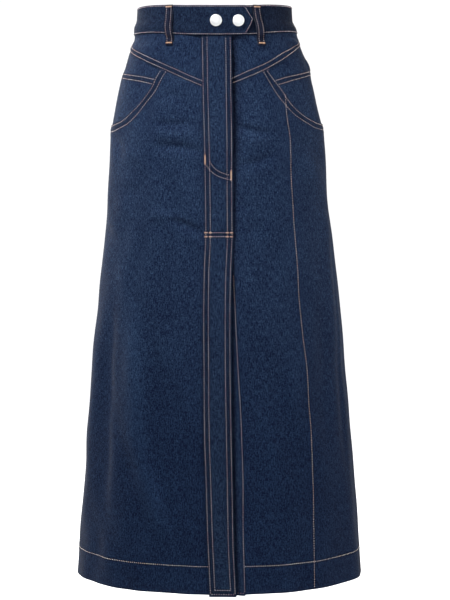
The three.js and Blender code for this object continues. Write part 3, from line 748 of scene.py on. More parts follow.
# materials: colours first, then how strong each effect is
denimLook = {
    "deep": (0.0032, 0.0076, 0.0292),
    "pale": (0.038, 0.075, 0.146),
    # the colours the cloth darkens to by the yoke and, as painted shade where the light falls off, towards
    # the hem
    "hem": (0.42, 0.52, 0.63),
    "stripHem": (0.72, 0.75, 0.755),
    "loopDeep": (0.0024, 0.0045, 0.0140),
    "loopPale": (0.036, 0.040, 0.075),
    "insideDeep": (0.10, 0.125, 0.17),
    "insidePale": (0.34, 0.38, 0.43),
    "groove": (0.36, 0.27, 0.33),
    "slub": 0.54,
    "mottle": 0.24,
    "fleck": 0.36,
    "twill": 0.10,
    "sheen": 0.12,
    "sheenRoughness": 0.25,
    "specular": 0.1,
    "bump": 0.55,
    "bumpDepth": 0.0004,
}
# each cloth: which two dyes and how much of them, its painted shade at the hem, how much its edges wear
denimKinds = {
    "denimOutside": {"deep": ("deep", 1.0), "pale": ("pale", 1.0), "hem": "hem", "wear": 1.0},
    "denimStrip": {"deep": ("deep", 0.91), "pale": ("pale", 0.91), "hem": "stripHem", "wear": 1.2},
    "denimBand": {"deep": ("deep", 0.7), "pale": ("pale", 0.68), "hem": "hem", "wear": 1.0},
    "denimLoop": {"deep": ("loopDeep", 1.0), "pale": ("loopPale", 1.0), "hem": "hem", "wear": 0.6},
    "denimUnderlap": {"deep": ("deep", 1.15), "pale": ("pale", 1.0), "hem": "stripHem", "wear": 1.0},
    "denimInside": {"deep": ("insideDeep", 1.0), "pale": ("insidePale", 1.0), "hem": "stripHem",
                    "wear": 0.5},
}
# noise in the weave: scale across and down the cloth, detail, roughness
weavePatterns = {
    "slub": ((600, 130, 0), 2.5, 0.6),
    "fineSlub": ((960, 380, 0), 1.5, 0.6),
    "weft": ((230, 720, 0), 2.0, 0.5),
    "mottle": ((150, 100, 0), 4.0, 0.62),
    "broad": ((24, 15, 0), 3.0, 0.5),
    "fleck": ((640, 420, 0), 1.0, 0.5),
}
# how far each pattern swings the dye, as a share of the group's input of that name
weaveSwings = [("slub", "Slub", 1.1), ("fineSlub", "Slub", 1.1), ("weft", "Slub", 0.5),
               ("mottle", "Mottle", 0.9), ("broad", "Mottle", 0.5), ("twill", "Twill", 1.0)]
weaveTone = {"start": 0.17, "wear": 0.16, "fleckSpan": (0.56, 0.76), "roughness": (0.92, 0.74)}
weaveHeight = {"twill": 0.5, "slub": 0.6, "mottle": 0.5}
twillLean = (1, 0.62, 0)
twillLines = {"Scale": 330, "Distortion": 1.2, "Detail": 2, "Detail Scale": 1.5}
grooveBreaks = {"noise": ((420, 420, 0), 2.0, 0.5), "span": (0.3, 0.7), "tones": (0.55, 1.0)}
threadLook = {
    "seam": {"bright": (0.72, 0.65, 0.63), "rust": (0.42, 0.27, 0.25), "twist": 0.4},
    "hem": {"bright": (0.88, 0.84, 0.78), "rust": (0.56, 0.43, 0.37), "twist": 0.3},
    "strip": {"bright": (0.62, 0.58, 0.61), "rust": (0.30, 0.17, 0.21), "twist": 0.45},
    "loop": {"bright": (0.42, 0.38, 0.40), "rust": (0.30, 0.19, 0.17), "twist": 0.45},
    "tack": {"bright": (0.66, 0.42, 0.27), "rust": (0.42, 0.22, 0.12), "twist": 0.3},
}
threadFinish = {"strands": (2600, 1), "span": (0.3, 0.7), "hollow": (0.35, 0.3, 0.3), "bump": 0.5,
                "bumpDepth": 0.0001, "roughness": 0.55, "sheen": 0.15}
snapLook = {"colour": (0.83, 0.84, 0.85), "dulled": 0.94, "metal": 0.7, "brushing": (900, 3),
            "span": (0.3, 0.7), "roughness": (0.37, 0.5)}
white = (1.0, 1.0, 1.0, 1.0)


def fill(sockets, values):
    for name, value in values.items():
        sockets[name].default_value = value


def opaque(colour, share=1.0):
    return tuple(channel * share for channel in colour) + (1.0,)


class ShaderTree:
    # a few short ways to place nodes and join them up
    def __init__(self, tree):
        self.tree = tree

    def node(self, kind, **values):
        node = self.tree.nodes.new(kind)
        for name, value in values.items():
            setattr(node, name, value)
        return node

    def join(self, value, socket):
        if isinstance(value, bpy.types.NodeSocket):
            self.tree.links.new(value, socket)
        else:
            socket.default_value = value

    def math(self, operation, first, second, clamp=False):
        node = self.node("ShaderNodeMath", operation=operation, use_clamp=clamp)
        self.join(first, node.inputs[0])
        self.join(second, node.inputs[1])
        return node.outputs[0]

    def add(self, first, second, clamp=False):
        return self.math("ADD", first, second, clamp)

    def times(self, first, second):
        return self.math("MULTIPLY", first, second)

    def grain(self, amounts):
        node = self.node("ShaderNodeVectorMath", operation="MULTIPLY")
        self.join(self.node("ShaderNodeUVMap", uv_map="clothGrain").outputs["UV"], node.inputs[0])
        node.inputs[1].default_value = amounts
        return node.outputs[0]

    # noise laid along the cloth's grain
    def clothNoise(self, scale, detail, roughness):
        node = self.node("ShaderNodeTexNoise", noise_dimensions="2D")
        self.join(self.grain(scale), node.inputs["Vector"])
        fill(node.inputs, {"Scale": 1.0, "Detail": detail, "Roughness": roughness})
        return node.outputs["Fac"]

    # noise through a small solid thing
    def solidNoise(self, scale, detail):
        node = self.node("ShaderNodeTexNoise", noise_dimensions="3D")
        self.join(self.node("ShaderNodeTexCoord").outputs["Object"], node.inputs["Vector"])
        fill(node.inputs, {"Scale": scale, "Detail": detail})
        return node.outputs["Fac"]

    def range(self, value, span, wanted=(0.0, 1.0)):
        node = self.node("ShaderNodeMapRange")
        self.join(value, node.inputs["Value"])
        fill(node.inputs, dict(zip(("From Min", "From Max", "To Min", "To Max"), (*span, *wanted))))
        return node.outputs["Result"]

    def mix(self, share, first, second, blend="MIX"):
        node = self.node("ShaderNodeMix", data_type="RGBA", blend_type=blend)
        colourA, colourB = (socket for socket in node.inputs if socket.type == "RGBA")
        self.join(share, node.inputs["Factor"])
        self.join(first, colourA)
        self.join(second, colourB)
        return next(socket for socket in node.outputs if socket.type == "RGBA")

    def bump(self, height, strength, depth, shader):
        node = self.node("ShaderNodeBump")
        fill(node.inputs, {"Strength": strength, "Distance": depth})
        self.join(height, node.inputs["Height"])
        self.join(node.outputs["Normal"], shader["Normal"])

    def attribute(self, name):
        return self.node("ShaderNodeAttribute", attribute_name=name).outputs["Fac"]

    def place(self, group, values):
        node = self.node("ShaderNodeGroup", node_tree=group)
        for name, value in values.items():
            self.join(value, node.inputs[name])
        return node.outputs


def startGroup(name, inputs, outputs):
    group = bpy.data.node_groups.new(name, "ShaderNodeTree")
    for socketName, kind, value in inputs:
        socket = group.interface.new_socket(name=socketName, in_out="INPUT", socket_type="NodeSocket" + kind)
        socket.default_value = value
    for socketName, kind in outputs:
        group.interface.new_socket(name=socketName, in_out="OUTPUT", socket_type="NodeSocket" + kind)
    tree = ShaderTree(group)
    return group, tree, tree.node("NodeGroupInput").outputs, tree.node("NodeGroupOutput").inputs


# twill lines, slubs that run down the cloth, flecks and soft mottling
def makeDenimWeave():
    group, tree, given, wanted = startGroup(
        "denimWeave",
        [("Deep", "Color", (0, 0, 0, 1)), ("Pale", "Color", white), ("Slub", "Float", 0.3),
         ("Mottle", "Float", 0.3), ("Fleck", "Float", 0.2), ("Twill", "Float", 0.1), ("Wear", "Float", 0.0)],
        [("Color", "Color"), ("Height", "Float"), ("Roughness", "Float")])
    patterns = {name: tree.clothNoise(*noise) for name, noise in weavePatterns.items()}
    twill = tree.node("ShaderNodeTexWave", wave_type="BANDS", bands_direction="DIAGONAL", wave_profile="SIN")
    tree.join(tree.grain(twillLean), twill.inputs["Vector"])
    fill(twill.inputs, twillLines)
    patterns["twill"] = twill.outputs["Fac"]
    pale = 0.0
    for name, strength, weight in weaveSwings:
        swing = tree.times(tree.add(patterns[name], -0.5), tree.times(given[strength], 2 * weight))
        pale = tree.add(pale, swing)
    fleck = tree.range(patterns["fleck"], weaveTone["fleckSpan"])
    pale = tree.add(pale, tree.times(fleck, given["Fleck"]))
    pale = tree.add(pale, tree.times(given["Wear"], weaveTone["wear"]))
    share = tree.add(pale, weaveTone["start"], clamp=True)
    tree.join(tree.mix(share, given["Deep"], given["Pale"]), wanted["Color"])
    height = 0.0
    for name, weight in weaveHeight.items():
        height = tree.add(height, tree.times(patterns[name], weight))
    tree.join(height, wanted["Height"])
    tree.join(tree.range(share, (0, 1), weaveTone["roughness"]), wanted["Roughness"])
    return group


# seams' dark grooves, and the cloth darkening down its length: by the yoke, and towards the hem as painted
# shade where the light falls off
def makeSeamTone():
    group, tree, given, wanted = startGroup(
        "seamTone",
        [("Color", "Color", white), ("Shade", "Float", 0.0), ("Fade", "Float", 0.5),
         ("Groove Color", "Color", (0.3, 0.24, 0.3, 1)), ("Hem Color", "Color", (0.7, 0.7, 0.7, 1))],
        [("Color", "Color")])
    broken = tree.range(tree.clothNoise(*grooveBreaks["noise"]), grooveBreaks["span"], grooveBreaks["tones"])
    groove = tree.times(given["Shade"], broken)
    grooved = tree.mix(1.0, given["Color"], tree.mix(groove, white, given["Groove Color"]), "MULTIPLY")
    tone = tree.mix(given["Fade"], given["Hem Color"], white)
    tree.join(tree.mix(1.0, grooved, tone, "MULTIPLY"), wanted["Color"])
    return group


# twisted thread: light and dark along each stitch, the dark a painted shade in the hollows between strands,
# and some of it rust
def makeThreadTwist():
    group, tree, given, wanted = startGroup(
        "threadTwist",
        [("Bright", "Color", white), ("Rust", "Color", white), ("Tone", "Float", 0.5),
         ("Twist", "Float", 0.4)],
        [("Color", "Color"), ("Height", "Float")])
    fibre = tree.range(tree.solidNoise(*threadFinish["strands"]), threadFinish["span"])
    base = tree.mix(given["Tone"], given["Rust"], given["Bright"])
    # painted shade: darker where the strands' bump is low
    between = tree.times(tree.math("SUBTRACT", 1.0, fibre), given["Twist"])
    dark = tree.mix(between, white, opaque(threadFinish["hollow"]))
    tree.join(tree.mix(1.0, base, dark, "MULTIPLY"), wanted["Color"])
    tree.join(fibre, wanted["Height"])
    return group


denimWeave, seamTone, threadTwist = makeDenimWeave(), makeSeamTone(), makeThreadTwist()


def startMaterial(name):
    material = bpy.data.materials.new(name)
    material.use_nodes = True
    tree = ShaderTree(material.node_tree)
    return material, tree, material.node_tree.nodes["Principled BSDF"].inputs


def dyed(dye):
    key, share = dye
    return opaque(denimLook[key], share)


def makeDenim(name, kind):
    material, tree, shader = startMaterial(name)
    weave = tree.place(denimWeave, {
        "Deep": dyed(kind["deep"]), "Pale": dyed(kind["pale"]), "Slub": denimLook["slub"],
        "Mottle": denimLook["mottle"], "Fleck": denimLook["fleck"], "Twill": denimLook["twill"],
        "Wear": tree.times(tree.attribute("wear"), kind["wear"])})
    toned = tree.place(seamTone, {
        "Color": weave["Color"], "Shade": tree.attribute("shade"), "Fade": tree.attribute("falloff"),
        "Groove Color": opaque(denimLook["groove"]), "Hem Color": opaque(denimLook[kind["hem"]])})
    tree.join(toned["Color"], shader["Base Color"])
    tree.join(weave["Roughness"], shader["Roughness"])
    tree.bump(weave["Height"], denimLook["bump"], denimLook["bumpDepth"], shader)
    fill(shader, {"Sheen Weight": denimLook["sheen"], "Sheen Roughness": denimLook["sheenRoughness"],
                  "Specular IOR Level": denimLook["specular"]})
    return material


def makeThread(name, look):
    material, tree, shader = startMaterial(name)
    strands = tree.place(threadTwist, {
        "Bright": opaque(look["bright"]), "Rust": opaque(look["rust"]), "Tone": tree.attribute("tone"),
        "Twist": look["twist"]})
    tree.join(strands["Color"], shader["Base Color"])
    tree.bump(strands["Height"], threadFinish["bump"], threadFinish["bumpDepth"], shader)
    fill(shader, {"Roughness": threadFinish["roughness"], "Sheen Weight": threadFinish["sheen"]})
    return material


def makeSnapMetal():
    material, tree, shader = startMaterial("snapMetal")
    brushed = tree.solidNoise(*snapLook["brushing"])
    dulled, clean = opaque(snapLook["colour"], snapLook["dulled"]), opaque(snapLook["colour"])
    tree.join(tree.mix(brushed, dulled, clean), shader["Base Color"])
    tree.join(tree.range(brushed, snapLook["span"], snapLook["roughness"]), shader["Roughness"])
    shader["Metallic"].default_value = snapLook["metal"]
    return material


denims = {name: makeDenim(name, kind) for name, kind in denimKinds.items()}
threads = {name: makeThread(name + "Thread", look) for name, look in threadLook.items()}
snapMetal = makeSnapMetal()
print("materials made")

# the pieces, each with its outside and inside material
plainDenim = (denims["denimOutside"], denims["denimInside"])
underlapDenim = (denims["denimUnderlap"], denims["denimInside"])
stripDenim, bandDenim, loopDenim = ((denims[k], denims[k]) for k in ("denimStrip", "denimBand", "denimLoop"))

# millimetres between columns and between rows of each piece's grid
gridSteps = {"panel": (3.6, 3.1), "yoke": (2.4, 2.0), "pocket": (2.2, 2.2), "strip": (1.6, 2.6),
             "underlap": (2.2, 3.4), "band": (2.4, 1.9), "loop": (0.9, 1.3)}
# the pieces beside the strip get its troughs and its painted shadow
leeOfStrip = {"troughs": besideStrip, "paintedShade": stripShadowTone}
besideIt = ("frontRight", "yokeFrontRight")
leftSide, rightSide = at(-sideAngle), at(sideAngle)

panels = {
    "frontLeft": {"node": "front_left", "edges": (leftSide, leftFrontEdge), "width": 268},
    "frontRight": {"node": "front_right", "edges": (underlapEdge, panelEdge), "width": 118},
    "frontRightSide": {"node": "front_right_side", "edges": (panelEdge, rightSide), "width": 156},
    "backLeft": {"node": "back_left", "edges": (at(-180), leftSide), "width": 290},
    "backRight": {"node": "back_right", "edges": (rightSide, at(180)), "width": 295},
}
for name, panel in panels.items():
    top, lift = (yokeDrop, backLift) if name.startswith("back") else (frontTop, frontLift)
    grid = clothGrid(*panel["edges"], top, hemBottom, panel["width"], *gridSteps["panel"])
    clothPiece(name, panel["node"], "denim", grid, lift, cloth["panel"], plainDenim, hem=True,
               **(leeOfStrip if name in besideIt else {}))

yokes = {
    "yokeFrontLeft": {"node": "yoke_front_left", "edges": (leftSide, leftFrontEdge), "width": 205},
    "yokeFrontRight": {"node": "yoke_front_right", "edges": (underlapEdge, rightSide), "width": 190},
    "yokeBackLeft": {"node": "yoke_back_left", "edges": (at(-180), leftSide), "width": 195},
    "yokeBackRight": {"node": "yoke_back_right", "edges": (rightSide, at(180)), "width": 195},
}
for name, yoke in yokes.items():
    grid = clothGrid(*yoke["edges"], bandBottom, yokeDrop, yoke["width"], *gridSteps["yoke"])
    clothPiece(name, yoke["node"], "denim", grid, yokeLift, cloth["panel"], plainDenim,
               **(leeOfStrip if name in besideIt else {}))


def coinOuter(angle, drop):
    return pocketLift(angle, drop) - pocketStep["rise"]


def hipOuter(angle, drop):
    return coinOuter(angle, drop) - cloth["pocket"] - cloth["layerGap"]


def pocketBottom(angle):
    return mouthDrop(angle) + pocketStep["underlap"]


hipStart, coinStart = seams["hipStart"], seams["coinStart"]
pocketPieces = {
    "pocketHipLeft": ("pocket_hip_left", (leftSide, at(-hipStart[0])), yokeDrop, hipOuter),
    "coinPocketLeft": ("coin_pocket_left", (leftSide, at(-coinStart[0])), coinDrop, coinOuter),
    "pocketHipRight": ("pocket_hip_right", (at(hipStart[1]), rightSide), yokeDrop, hipOuter),
    "coinPocketRight": ("coin_pocket_right", (at(coinStart[1]), rightSide), coinDrop, coinOuter),
}
for name, (node, edges, top, lift) in pocketPieces.items():
    grid = clothGrid(*edges, top, pocketBottom, pocketStep["width"], *gridSteps["pocket"])
    clothPiece(name, node, "denim_dark", grid, lift, cloth["pocket"], plainDenim)

# the strip hangs free beside the slit, and stands off the cloth at its right above that
stripShape = {"width": 41, "gap": 0.4, "slitDrops": (340, 460), "slitShares": (0.35, 1), "slitLift": 2.0,
              "edgeWave": 0.45, "wavePitch": 27, "wander": 1.4, "wanderPitch": 61,
              "standsOff": 2.0, "standsShares": (0.55, 1), "standsFrom": (50, 75), "standsTo": (235, 300)}


def stripLeft(drop):
    return angleAt(stripCentre(drop) - stripHalf(drop), drop)


def stripRight(drop):
    return angleAt(stripCentre(drop) + stripHalf(drop), drop)


def stripLift(angle, drop):
    shape = stripShape
    share = (sideways(angle, drop) - stripCentre(drop) + stripHalf(drop)) / (2 * stripHalf(drop))
    free = ease(drop, *shape["slitDrops"]) * ease(share, *shape["slitShares"])
    wander = shape["wander"] * np.sin(drop / shape["wanderPitch"])
    wave = shape["edgeWave"] * np.sin(drop / shape["wavePitch"] + wander)
    stands = ease(drop, *shape["standsFrom"]) * (1 - ease(drop, *shape["standsTo"]))
    above = shape["standsOff"] * ease(share, *shape["standsShares"]) * stands
    return shape["gap"] + cloth["strip"] + above + free * (shape["slitLift"] + wave)


grid = clothGrid(stripLeft, stripRight, bandBottom, level(skirtForm["stripHemDrop"]), stripShape["width"],
                 *gridSteps["strip"])
clothPiece("frontStripCloth", "front_strip", "denim", grid, stripLift, cloth["strip"], stripDenim)

underlapShape = {"width": 38, "sink": 3.6, "sinkSpan": (1.5, 8.5), "behindSeam": 14, "seamDrops": (300, 420)}


def underlapLeft(drop):
    return angleAt(underlapSeam(drop) - underlapShape["width"], drop)


def underlapLift(angle, drop):
    past = sideways(angle, drop) - stripCentre(drop) - stripHalf(drop)
    behindSeam = underlapShape["behindSeam"] * (1 - ease(drop, *underlapShape["seamDrops"]))
    return -underlapShape["sink"] * (1 - ease(past + behindSeam, *underlapShape["sinkSpan"]))


grid = clothGrid(underlapLeft, underlapEdge, bandBottom, level(skirtForm["underlapHemDrop"]),
                 underlapShape["width"], *gridSteps["underlap"])
clothPiece("underlapCloth", "underlap", "denim_dark", grid, underlapLift, cloth["panel"], underlapDenim,
           **leeOfStrip)

waistband = {"lift": 1.2, "puff": 0.35, "leftWidth": 385, "rightWidth": 350, "tabRamp": (-46, -24),
             "underEnd": -21, "tabCornerX": 40.5, "tabTipX": 52, "tabTipDrop": 23.5}
tabLift = cloth["band"] + cloth["layerGap"]


def bandPuff(angle, drop):
    share = (drop - bandTop(angle)) / (bandBottom(angle) - bandTop(angle))
    return waistband["puff"] * np.sin(np.pi * np.clip(share, 0, 1))


def leftBandLift(angle, drop):
    ramp = np.where(np.cos(angle) > 0, ease(sideways(angle, drop), *waistband["tabRamp"]), 0)
    return waistband["lift"] + tabLift * ramp + bandPuff(angle, drop)


def rightBandLift(angle, drop):
    return waistband["lift"] + bandPuff(angle, drop)


def leftBandEnd(drop):
    tipDrop, tipX = waistband["tabTipDrop"], waistband["tabTipX"]
    above = (tipDrop - drop) / (tipDrop - bandTop(0))
    below = (drop - tipDrop) / (bandBottom(0) - tipDrop)
    share = np.clip(np.where(drop < tipDrop, above, below), 0, 1)
    return angleAt(tipX + (waistband["tabCornerX"] - tipX) * share, drop)


def rightBandStart(drop):
    return angleAt(waistband["underEnd"], drop)


grid = clothGrid(at(-180), leftBandEnd, bandTop, bandBottom, waistband["leftWidth"], *gridSteps["band"])
clothPiece("waistbandLeft", "waistband_left", "denim", grid, leftBandLift, cloth["band"], bandDenim)
grid = clothGrid(rightBandStart, at(180), bandTop, bandBottom, waistband["rightWidth"], *gridSteps["band"])
clothPiece("waistbandRight", "waistband_right", "denim_dark", grid, rightBandLift, cloth["band"], bandDenim,
           paintedShade=tabShadeTone)

# each belt loop's node and its angle at the top and at the end
beltLoops = {
    "beltLoopFrontLeft": ("belt_loop_front_left", -35.6, -32.6),
    "beltLoopFrontRight": ("belt_loop_front_right", 31.2, 31.4),
    "beltLoopBackLeft": ("belt_loop_back_left", -113, -113),
    "beltLoopBackCentre": ("belt_loop_back_centre", 180, 180),
    "beltLoopBackRight": ("belt_loop_back_right", 113, 113),
}
loopShape = {"width": 12, "length": 58, "clearance": 3.2, "sewn": 7, "bandSpan": (1, 7), "climb": 12,
             "descent": 14, "fold": 0.3, "foldWidth": 3.5}


def loopTop(loop):
    return float(bandTop(loop[1] * degree))


def loopCentre(loop, drop):
    _, topAngle, endAngle = loop
    return (topAngle + (endAngle - topAngle) * (drop - loopTop(loop)) / loopShape["length"]) * degree


def loopSide(loop, sign):
    def side(drop):
        centre = loopCentre(loop, drop)
        return centre + sign * loopShape["width"] / 2 / reach(centre, drop)
    return side


# a loop is sewn down at both ends and clears the band between them
def loopLift(loop):
    sewn, sewnEnd, gap = loopShape["sewn"], loopShape["length"] - loopShape["sewn"], cloth["layerGap"]

    def lift(angle, drop):
        under = waistband["lift"] * (1 - ease(drop - bandBottom(angle), *loopShape["bandSpan"]))
        down = drop - loopTop(loop)
        leaves = ease(down, sewn, sewn + loopShape["climb"])
        clear = np.minimum(leaves, 1 - ease(down, sewnEnd - loopShape["descent"], sewnEnd))
        fromMiddle = turnFrom(angle, loopCentre(loop, drop)) * reach(angle, drop)
        fold = loopShape["fold"] * bell(fromMiddle, loopShape["foldWidth"])
        return under + gap + (loopShape["clearance"] - gap) * clear + cloth["loop"] + fold
    return lift


for name, loop in beltLoops.items():
    top = loopTop(loop)
    grid = clothGrid(loopSide(loop, -1), loopSide(loop, 1), level(top), level(top + loopShape["length"]),
                     loopShape["width"], *gridSteps["loop"])
    clothPiece(name, loop[0], "denim", grid, loopLift(loop), cloth["loop"], loopDenim, relief=0)
print("cloth pieces made")

# thread, in millimetres; the profile is four rings from one end of a stitch to the other
stitchShape = {"length": 1.5, "radius": 0.46, "height": 0.28}
tackShape = {"length": 0, "radius": 0.36, "height": 0.4, "pitch": 0.75}
stitchProfile = {"sides": 5, "flat": 1.1, "along": [-0.5, -0.28, 0.28, 0.5], "height": [-0.5, 1, 1, -0.5],
                 "radius": [0.45, 1, 1, 0.45]}
stitchScatter = {"seed": 5, "length": 0.05, "drift": 0.07, "tone": 0.35}
threadTone = {"middle": 0.55, "swing": 0.2, "pitch": 17, "furthest": 6}
stitchDice = np.random.default_rng(stitchScatter["seed"])
turnProbe = 0.005  # radians


def places(angle, drop, lift):
    return clothPoints(angle, drop, lift + clothRise(angle, drop))


# from one side of a place to the other, over the cloth as it lies
def overCloth(angle, drop, lift, turn, fall):
    return places(angle + turn, drop + fall, lift) - places(angle - turn, drop - fall, lift)


def madeUnit(vectors):
    return vectors / np.linalg.norm(vectors, axis=1, keepdims=True)


# stitches along a path, or across it for a bartack
def stitchVertices(path, along, lift, shape, crosswise=0.0, riseAt=None):
    pitch, length = shape["pitch"], shape["length"]
    count = max(1, int((along[-1] - length) / pitch) + 1)
    start = (along[-1] - (count - 1) * pitch) / 2
    centre = start + pitch * np.arange(count)
    angle, drop = (np.interp(centre, along, path[:, k]) for k in (0, 1))
    seam = -seamGroove["depth"] + puckerRise(centre, 0) if riseAt is None else riseAt
    lifts = lift(angle, drop) + seam
    middle = places(angle, drop, lifts)
    turn, fall = (np.interp(centre + 0.5, along, path[:, k]) - np.interp(centre - 0.5, along, path[:, k])
                  for k in (0, 1))
    tangent = madeUnit(overCloth(angle, drop, lifts, turn, fall))
    down, around = overCloth(angle, drop, lifts, 0, 1), overCloth(angle, drop, lifts, turnProbe, 0)
    normal = madeUnit(np.cross(down, around))
    side = np.cross(normal, tangent)
    if crosswise:
        tangent, side = side, tangent
        length = crosswise
    ringAlong = np.array(stitchProfile["along"]) * length
    ringHeight = np.array(stitchProfile["height"]) * shape["height"]
    ringRadius = np.array(stitchProfile["radius"]) * shape["radius"]
    turns = 2 * np.pi * np.arange(stitchProfile["sides"]) / stitchProfile["sides"]
    outwards = ringHeight[:, None] + ringRadius[:, None] * np.sin(turns)
    sidelong = ringRadius[:, None] * np.cos(turns) * stitchProfile["flat"]
    jitter = stitchDice.normal(0, stitchScatter["length"], (count, 1, 1, 1))
    alongPart = ringAlong[None, :, None, None] * (1 + jitter) * tangent[:, None, None, :]
    outPart = outwards[None, :, :, None] * normal[:, None, None, :]
    sidePart = sidelong[None, :, :, None] * side[:, None, None, :]
    drift = stitchDice.normal(0, stitchScatter["drift"], (count, 1, 1, 1)) * side[:, None, None, :]
    points = middle[:, None, None, :] + (alongPart + outPart + sidePart + drift) * mm
    swing = np.sin(centre / threadTone["pitch"] + stitchDice.uniform(0, threadTone["furthest"]))
    scatter = stitchDice.normal(0, stitchScatter["tone"], count)
    tone = threadTone["middle"] + threadTone["swing"] * swing + scatter
    return points.reshape(-1, 3), np.repeat(np.clip(tone, 0, 1), points.shape[1] * points.shape[2])


# all the stitches of a group as one mesh
def stitchMesh(name, runs, material):
    sides, rings = stitchProfile["sides"], len(stitchProfile["along"])
    points, tones = (np.concatenate([run[k] for run in runs]) for k in (0, 1))
    count = len(points) // (rings * sides)
    ring = np.arange(sides)
    ahead = (ring + 1) % sides
    walls = np.concatenate([np.stack([ring, ahead, ahead + sides, ring + sides], axis=1) + k * sides
                            for k in range(rings - 1)])
    base = (np.arange(count) * rings * sides)[:, None, None]
    quads = (walls[None] + base).reshape(-1, 4).tolist()
    ends = np.stack([ring[::-1], ring + (rings - 1) * sides])
    caps = (ends[None] + base).reshape(-1, sides).tolist()
    mesh = bpy.data.meshes.new(name)
    mesh.from_pydata(points.tolist(), [], quads + caps)
    mesh.attributes.new("tone", "FLOAT", "POINT").data.foreach_set("value", tones.astype(np.float32))
    mesh.materials.append(material)
    mesh.shade_smooth()
    finishPiece(placed(name, mesh), None)
    print(f"  {name}: {count} stitches")


def runOf(path, lift, pitch, riseAt=None):
    return stitchVertices(*path, lift, {**stitchShape, "pitch": pitch}, riseAt=riseAt)


def tackOf(rows, lift, width):
    return stitchVertices(*stitchPath(rows, straight=True), lift, tackShape, crosswise=width, riseAt=0.0)


def named(*starts):
    return [name for name in lines if name.startswith(starts)]


# what the stitches lie on, how far apart they are, and the thread
stitchGroups = {
    "yokeStitching": (yokeLift, 3.27, "seam", named("yoke", "backYoke")),
    "pocketStitching": (frontLift, 3.3, "seam", named("mouth")),
    "coinPocketStitching": (coinOuter, 3.3, "seam", named("coin")),
    "panelStitching": (frontLift, 3.46, "seam", named("panel")),
    "hemStitching": (frontLift, 3.2, "hem", ["hemLeft", "hemRight"]),
    "backStitching": (backLift, 3.3, "seam", named("centreBack") + named("hemBack")),
    "stripStitching": (stripLift, 3.42, "strip", named("strip")),
    "stripTurns": (stripLift, 3.3, "seam", named("hook", "bar")),
    "underlapStitching": (underlapLift, 3.4, "strip", ["facing", "underlapHem"]),
}
for name, (lift, pitch, thread, lineNames) in stitchGroups.items():
    stitchMesh(name, [runOf(paths[k], lift, pitch) for k in lineNames], threads[thread])

# the waistband's row of stitches keeps inset from its edges and runs round the tab's point
bandStitch = {"pitch": 2.83, "inset": 1.7, "corner": 1.5, "tip": 2.1, "past": 1.5}
inset, cornerX = bandStitch["inset"], waistband["tabCornerX"] - bandStitch["corner"]
tabRows = byX([(cornerX, float(bandTop(0)) + inset),
               (waistband["tabTipX"] - bandStitch["tip"], waistband["tabTipDrop"]),
               (cornerX, float(bandBottom(0)) - inset)])
topCorner, bottomCorner = tabRows[0][0], tabRows[2][0]


def bandRun(rows, lift, straight=False):
    return runOf(stitchPath(rows, straight), lift, bandStitch["pitch"], 0.0)


stitchMesh("waistbandStitching", [
    bandRun(besideSeam(bandTop, -180, topCorner, inset), leftBandLift),
    bandRun(besideSeam(bandBottom, -180, bottomCorner, -inset), leftBandLift),
    bandRun(tabRows, leftBandLift, straight=True),
    bandRun(besideSeam(bandTop, topCorner + bandStitch["past"], 180, inset), rightBandLift),
    bandRun(besideSeam(bandBottom, bottomCorner + bandStitch["past"], 180, -inset), rightBandLift),
], threads["strip"])

loopStitch = {"pitch": 3.0, "fromMiddle": 3.6, "ends": 2, "places": 12, "tackDrops": (2.8, 54.8),
              "tackHalf": 4.6, "tackWidth": 2.4}


# a place so far down a loop and so far to the side of its middle
def onLoop(loop, down, aside):
    drop = loopTop(loop) + down
    centre = float(loopCentre(loop, drop))
    return (centre + aside / float(reach(centre, drop))) / degree, drop


loopStitches, tacks = [], []
downs = np.linspace(loopStitch["ends"], loopShape["length"] - loopStitch["ends"], loopStitch["places"])
for loop in beltLoops.values():
    for aside in (-loopStitch["fromMiddle"], loopStitch["fromMiddle"]):
        rows = [onLoop(loop, down, aside) for down in downs]
        loopStitches.append(runOf(stitchPath(rows), loopLift(loop), loopStitch["pitch"], 0.0))
    for down in loopStitch["tackDrops"]:
        rows = [onLoop(loop, down, aside) for aside in (-loopStitch["tackHalf"], loopStitch["tackHalf"])]
        tacks.append(tackOf(rows, loopLift(loop), loopStitch["tackWidth"]))
stitchMesh("beltLoopStitching", loopStitches, threads["loop"])

# bartacks at the hook's ends, and on the bar where the strip's rows cross it
stripTacks = {"hookEnds": [(-16.3, 219, 232), (20.4, 241, 255)], "hookWidth": 2.2,
              "barX": (-15.4, -8.9, 15.3, 21.2), "barDrops": (329.6, 335.3), "barHalf": 1.8, "barWidth": 2.0}
for x, top, bottom in stripTacks["hookEnds"]:
    tacks.append(tackOf(byX([(x, top), (x, bottom)]), stripLift, stripTacks["hookWidth"]))
for x in stripTacks["barX"]:
    for drop in stripTacks["barDrops"]:
        ends = byX([(x - stripTacks["barHalf"], drop), (x + stripTacks["barHalf"], drop)])
        tacks.append(tackOf(ends, stripLift, stripTacks["barWidth"]))
stitchMesh("bartacks", tacks, threads["tack"])
print("thread made")

# snaps, in millimetres; the profile is radius and height from a cap's foot to its middle
snapShape = {
    "drop": 26.3, "places": {"snapInner": ("snap_inner", -1), "snapOuter": ("snap_outer", 30.2)}, "sides": 64,
    "profile": [(0, 0), (7.4, 0), (8.1, 0.15), (8.5, 0.55), (8.6, 1.0), (8.45, 1.4), (8.1, 1.62), (7.6, 1.66),
                (7.15, 1.58), (6.9, 1.56), (6.6, 1.66), (6.0, 1.86), (5.0, 2.08), (3.6, 2.26), (1.9, 2.36),
                (0, 2.4)],
}
snapProbe = {"turn": 0.01, "fall": 2}


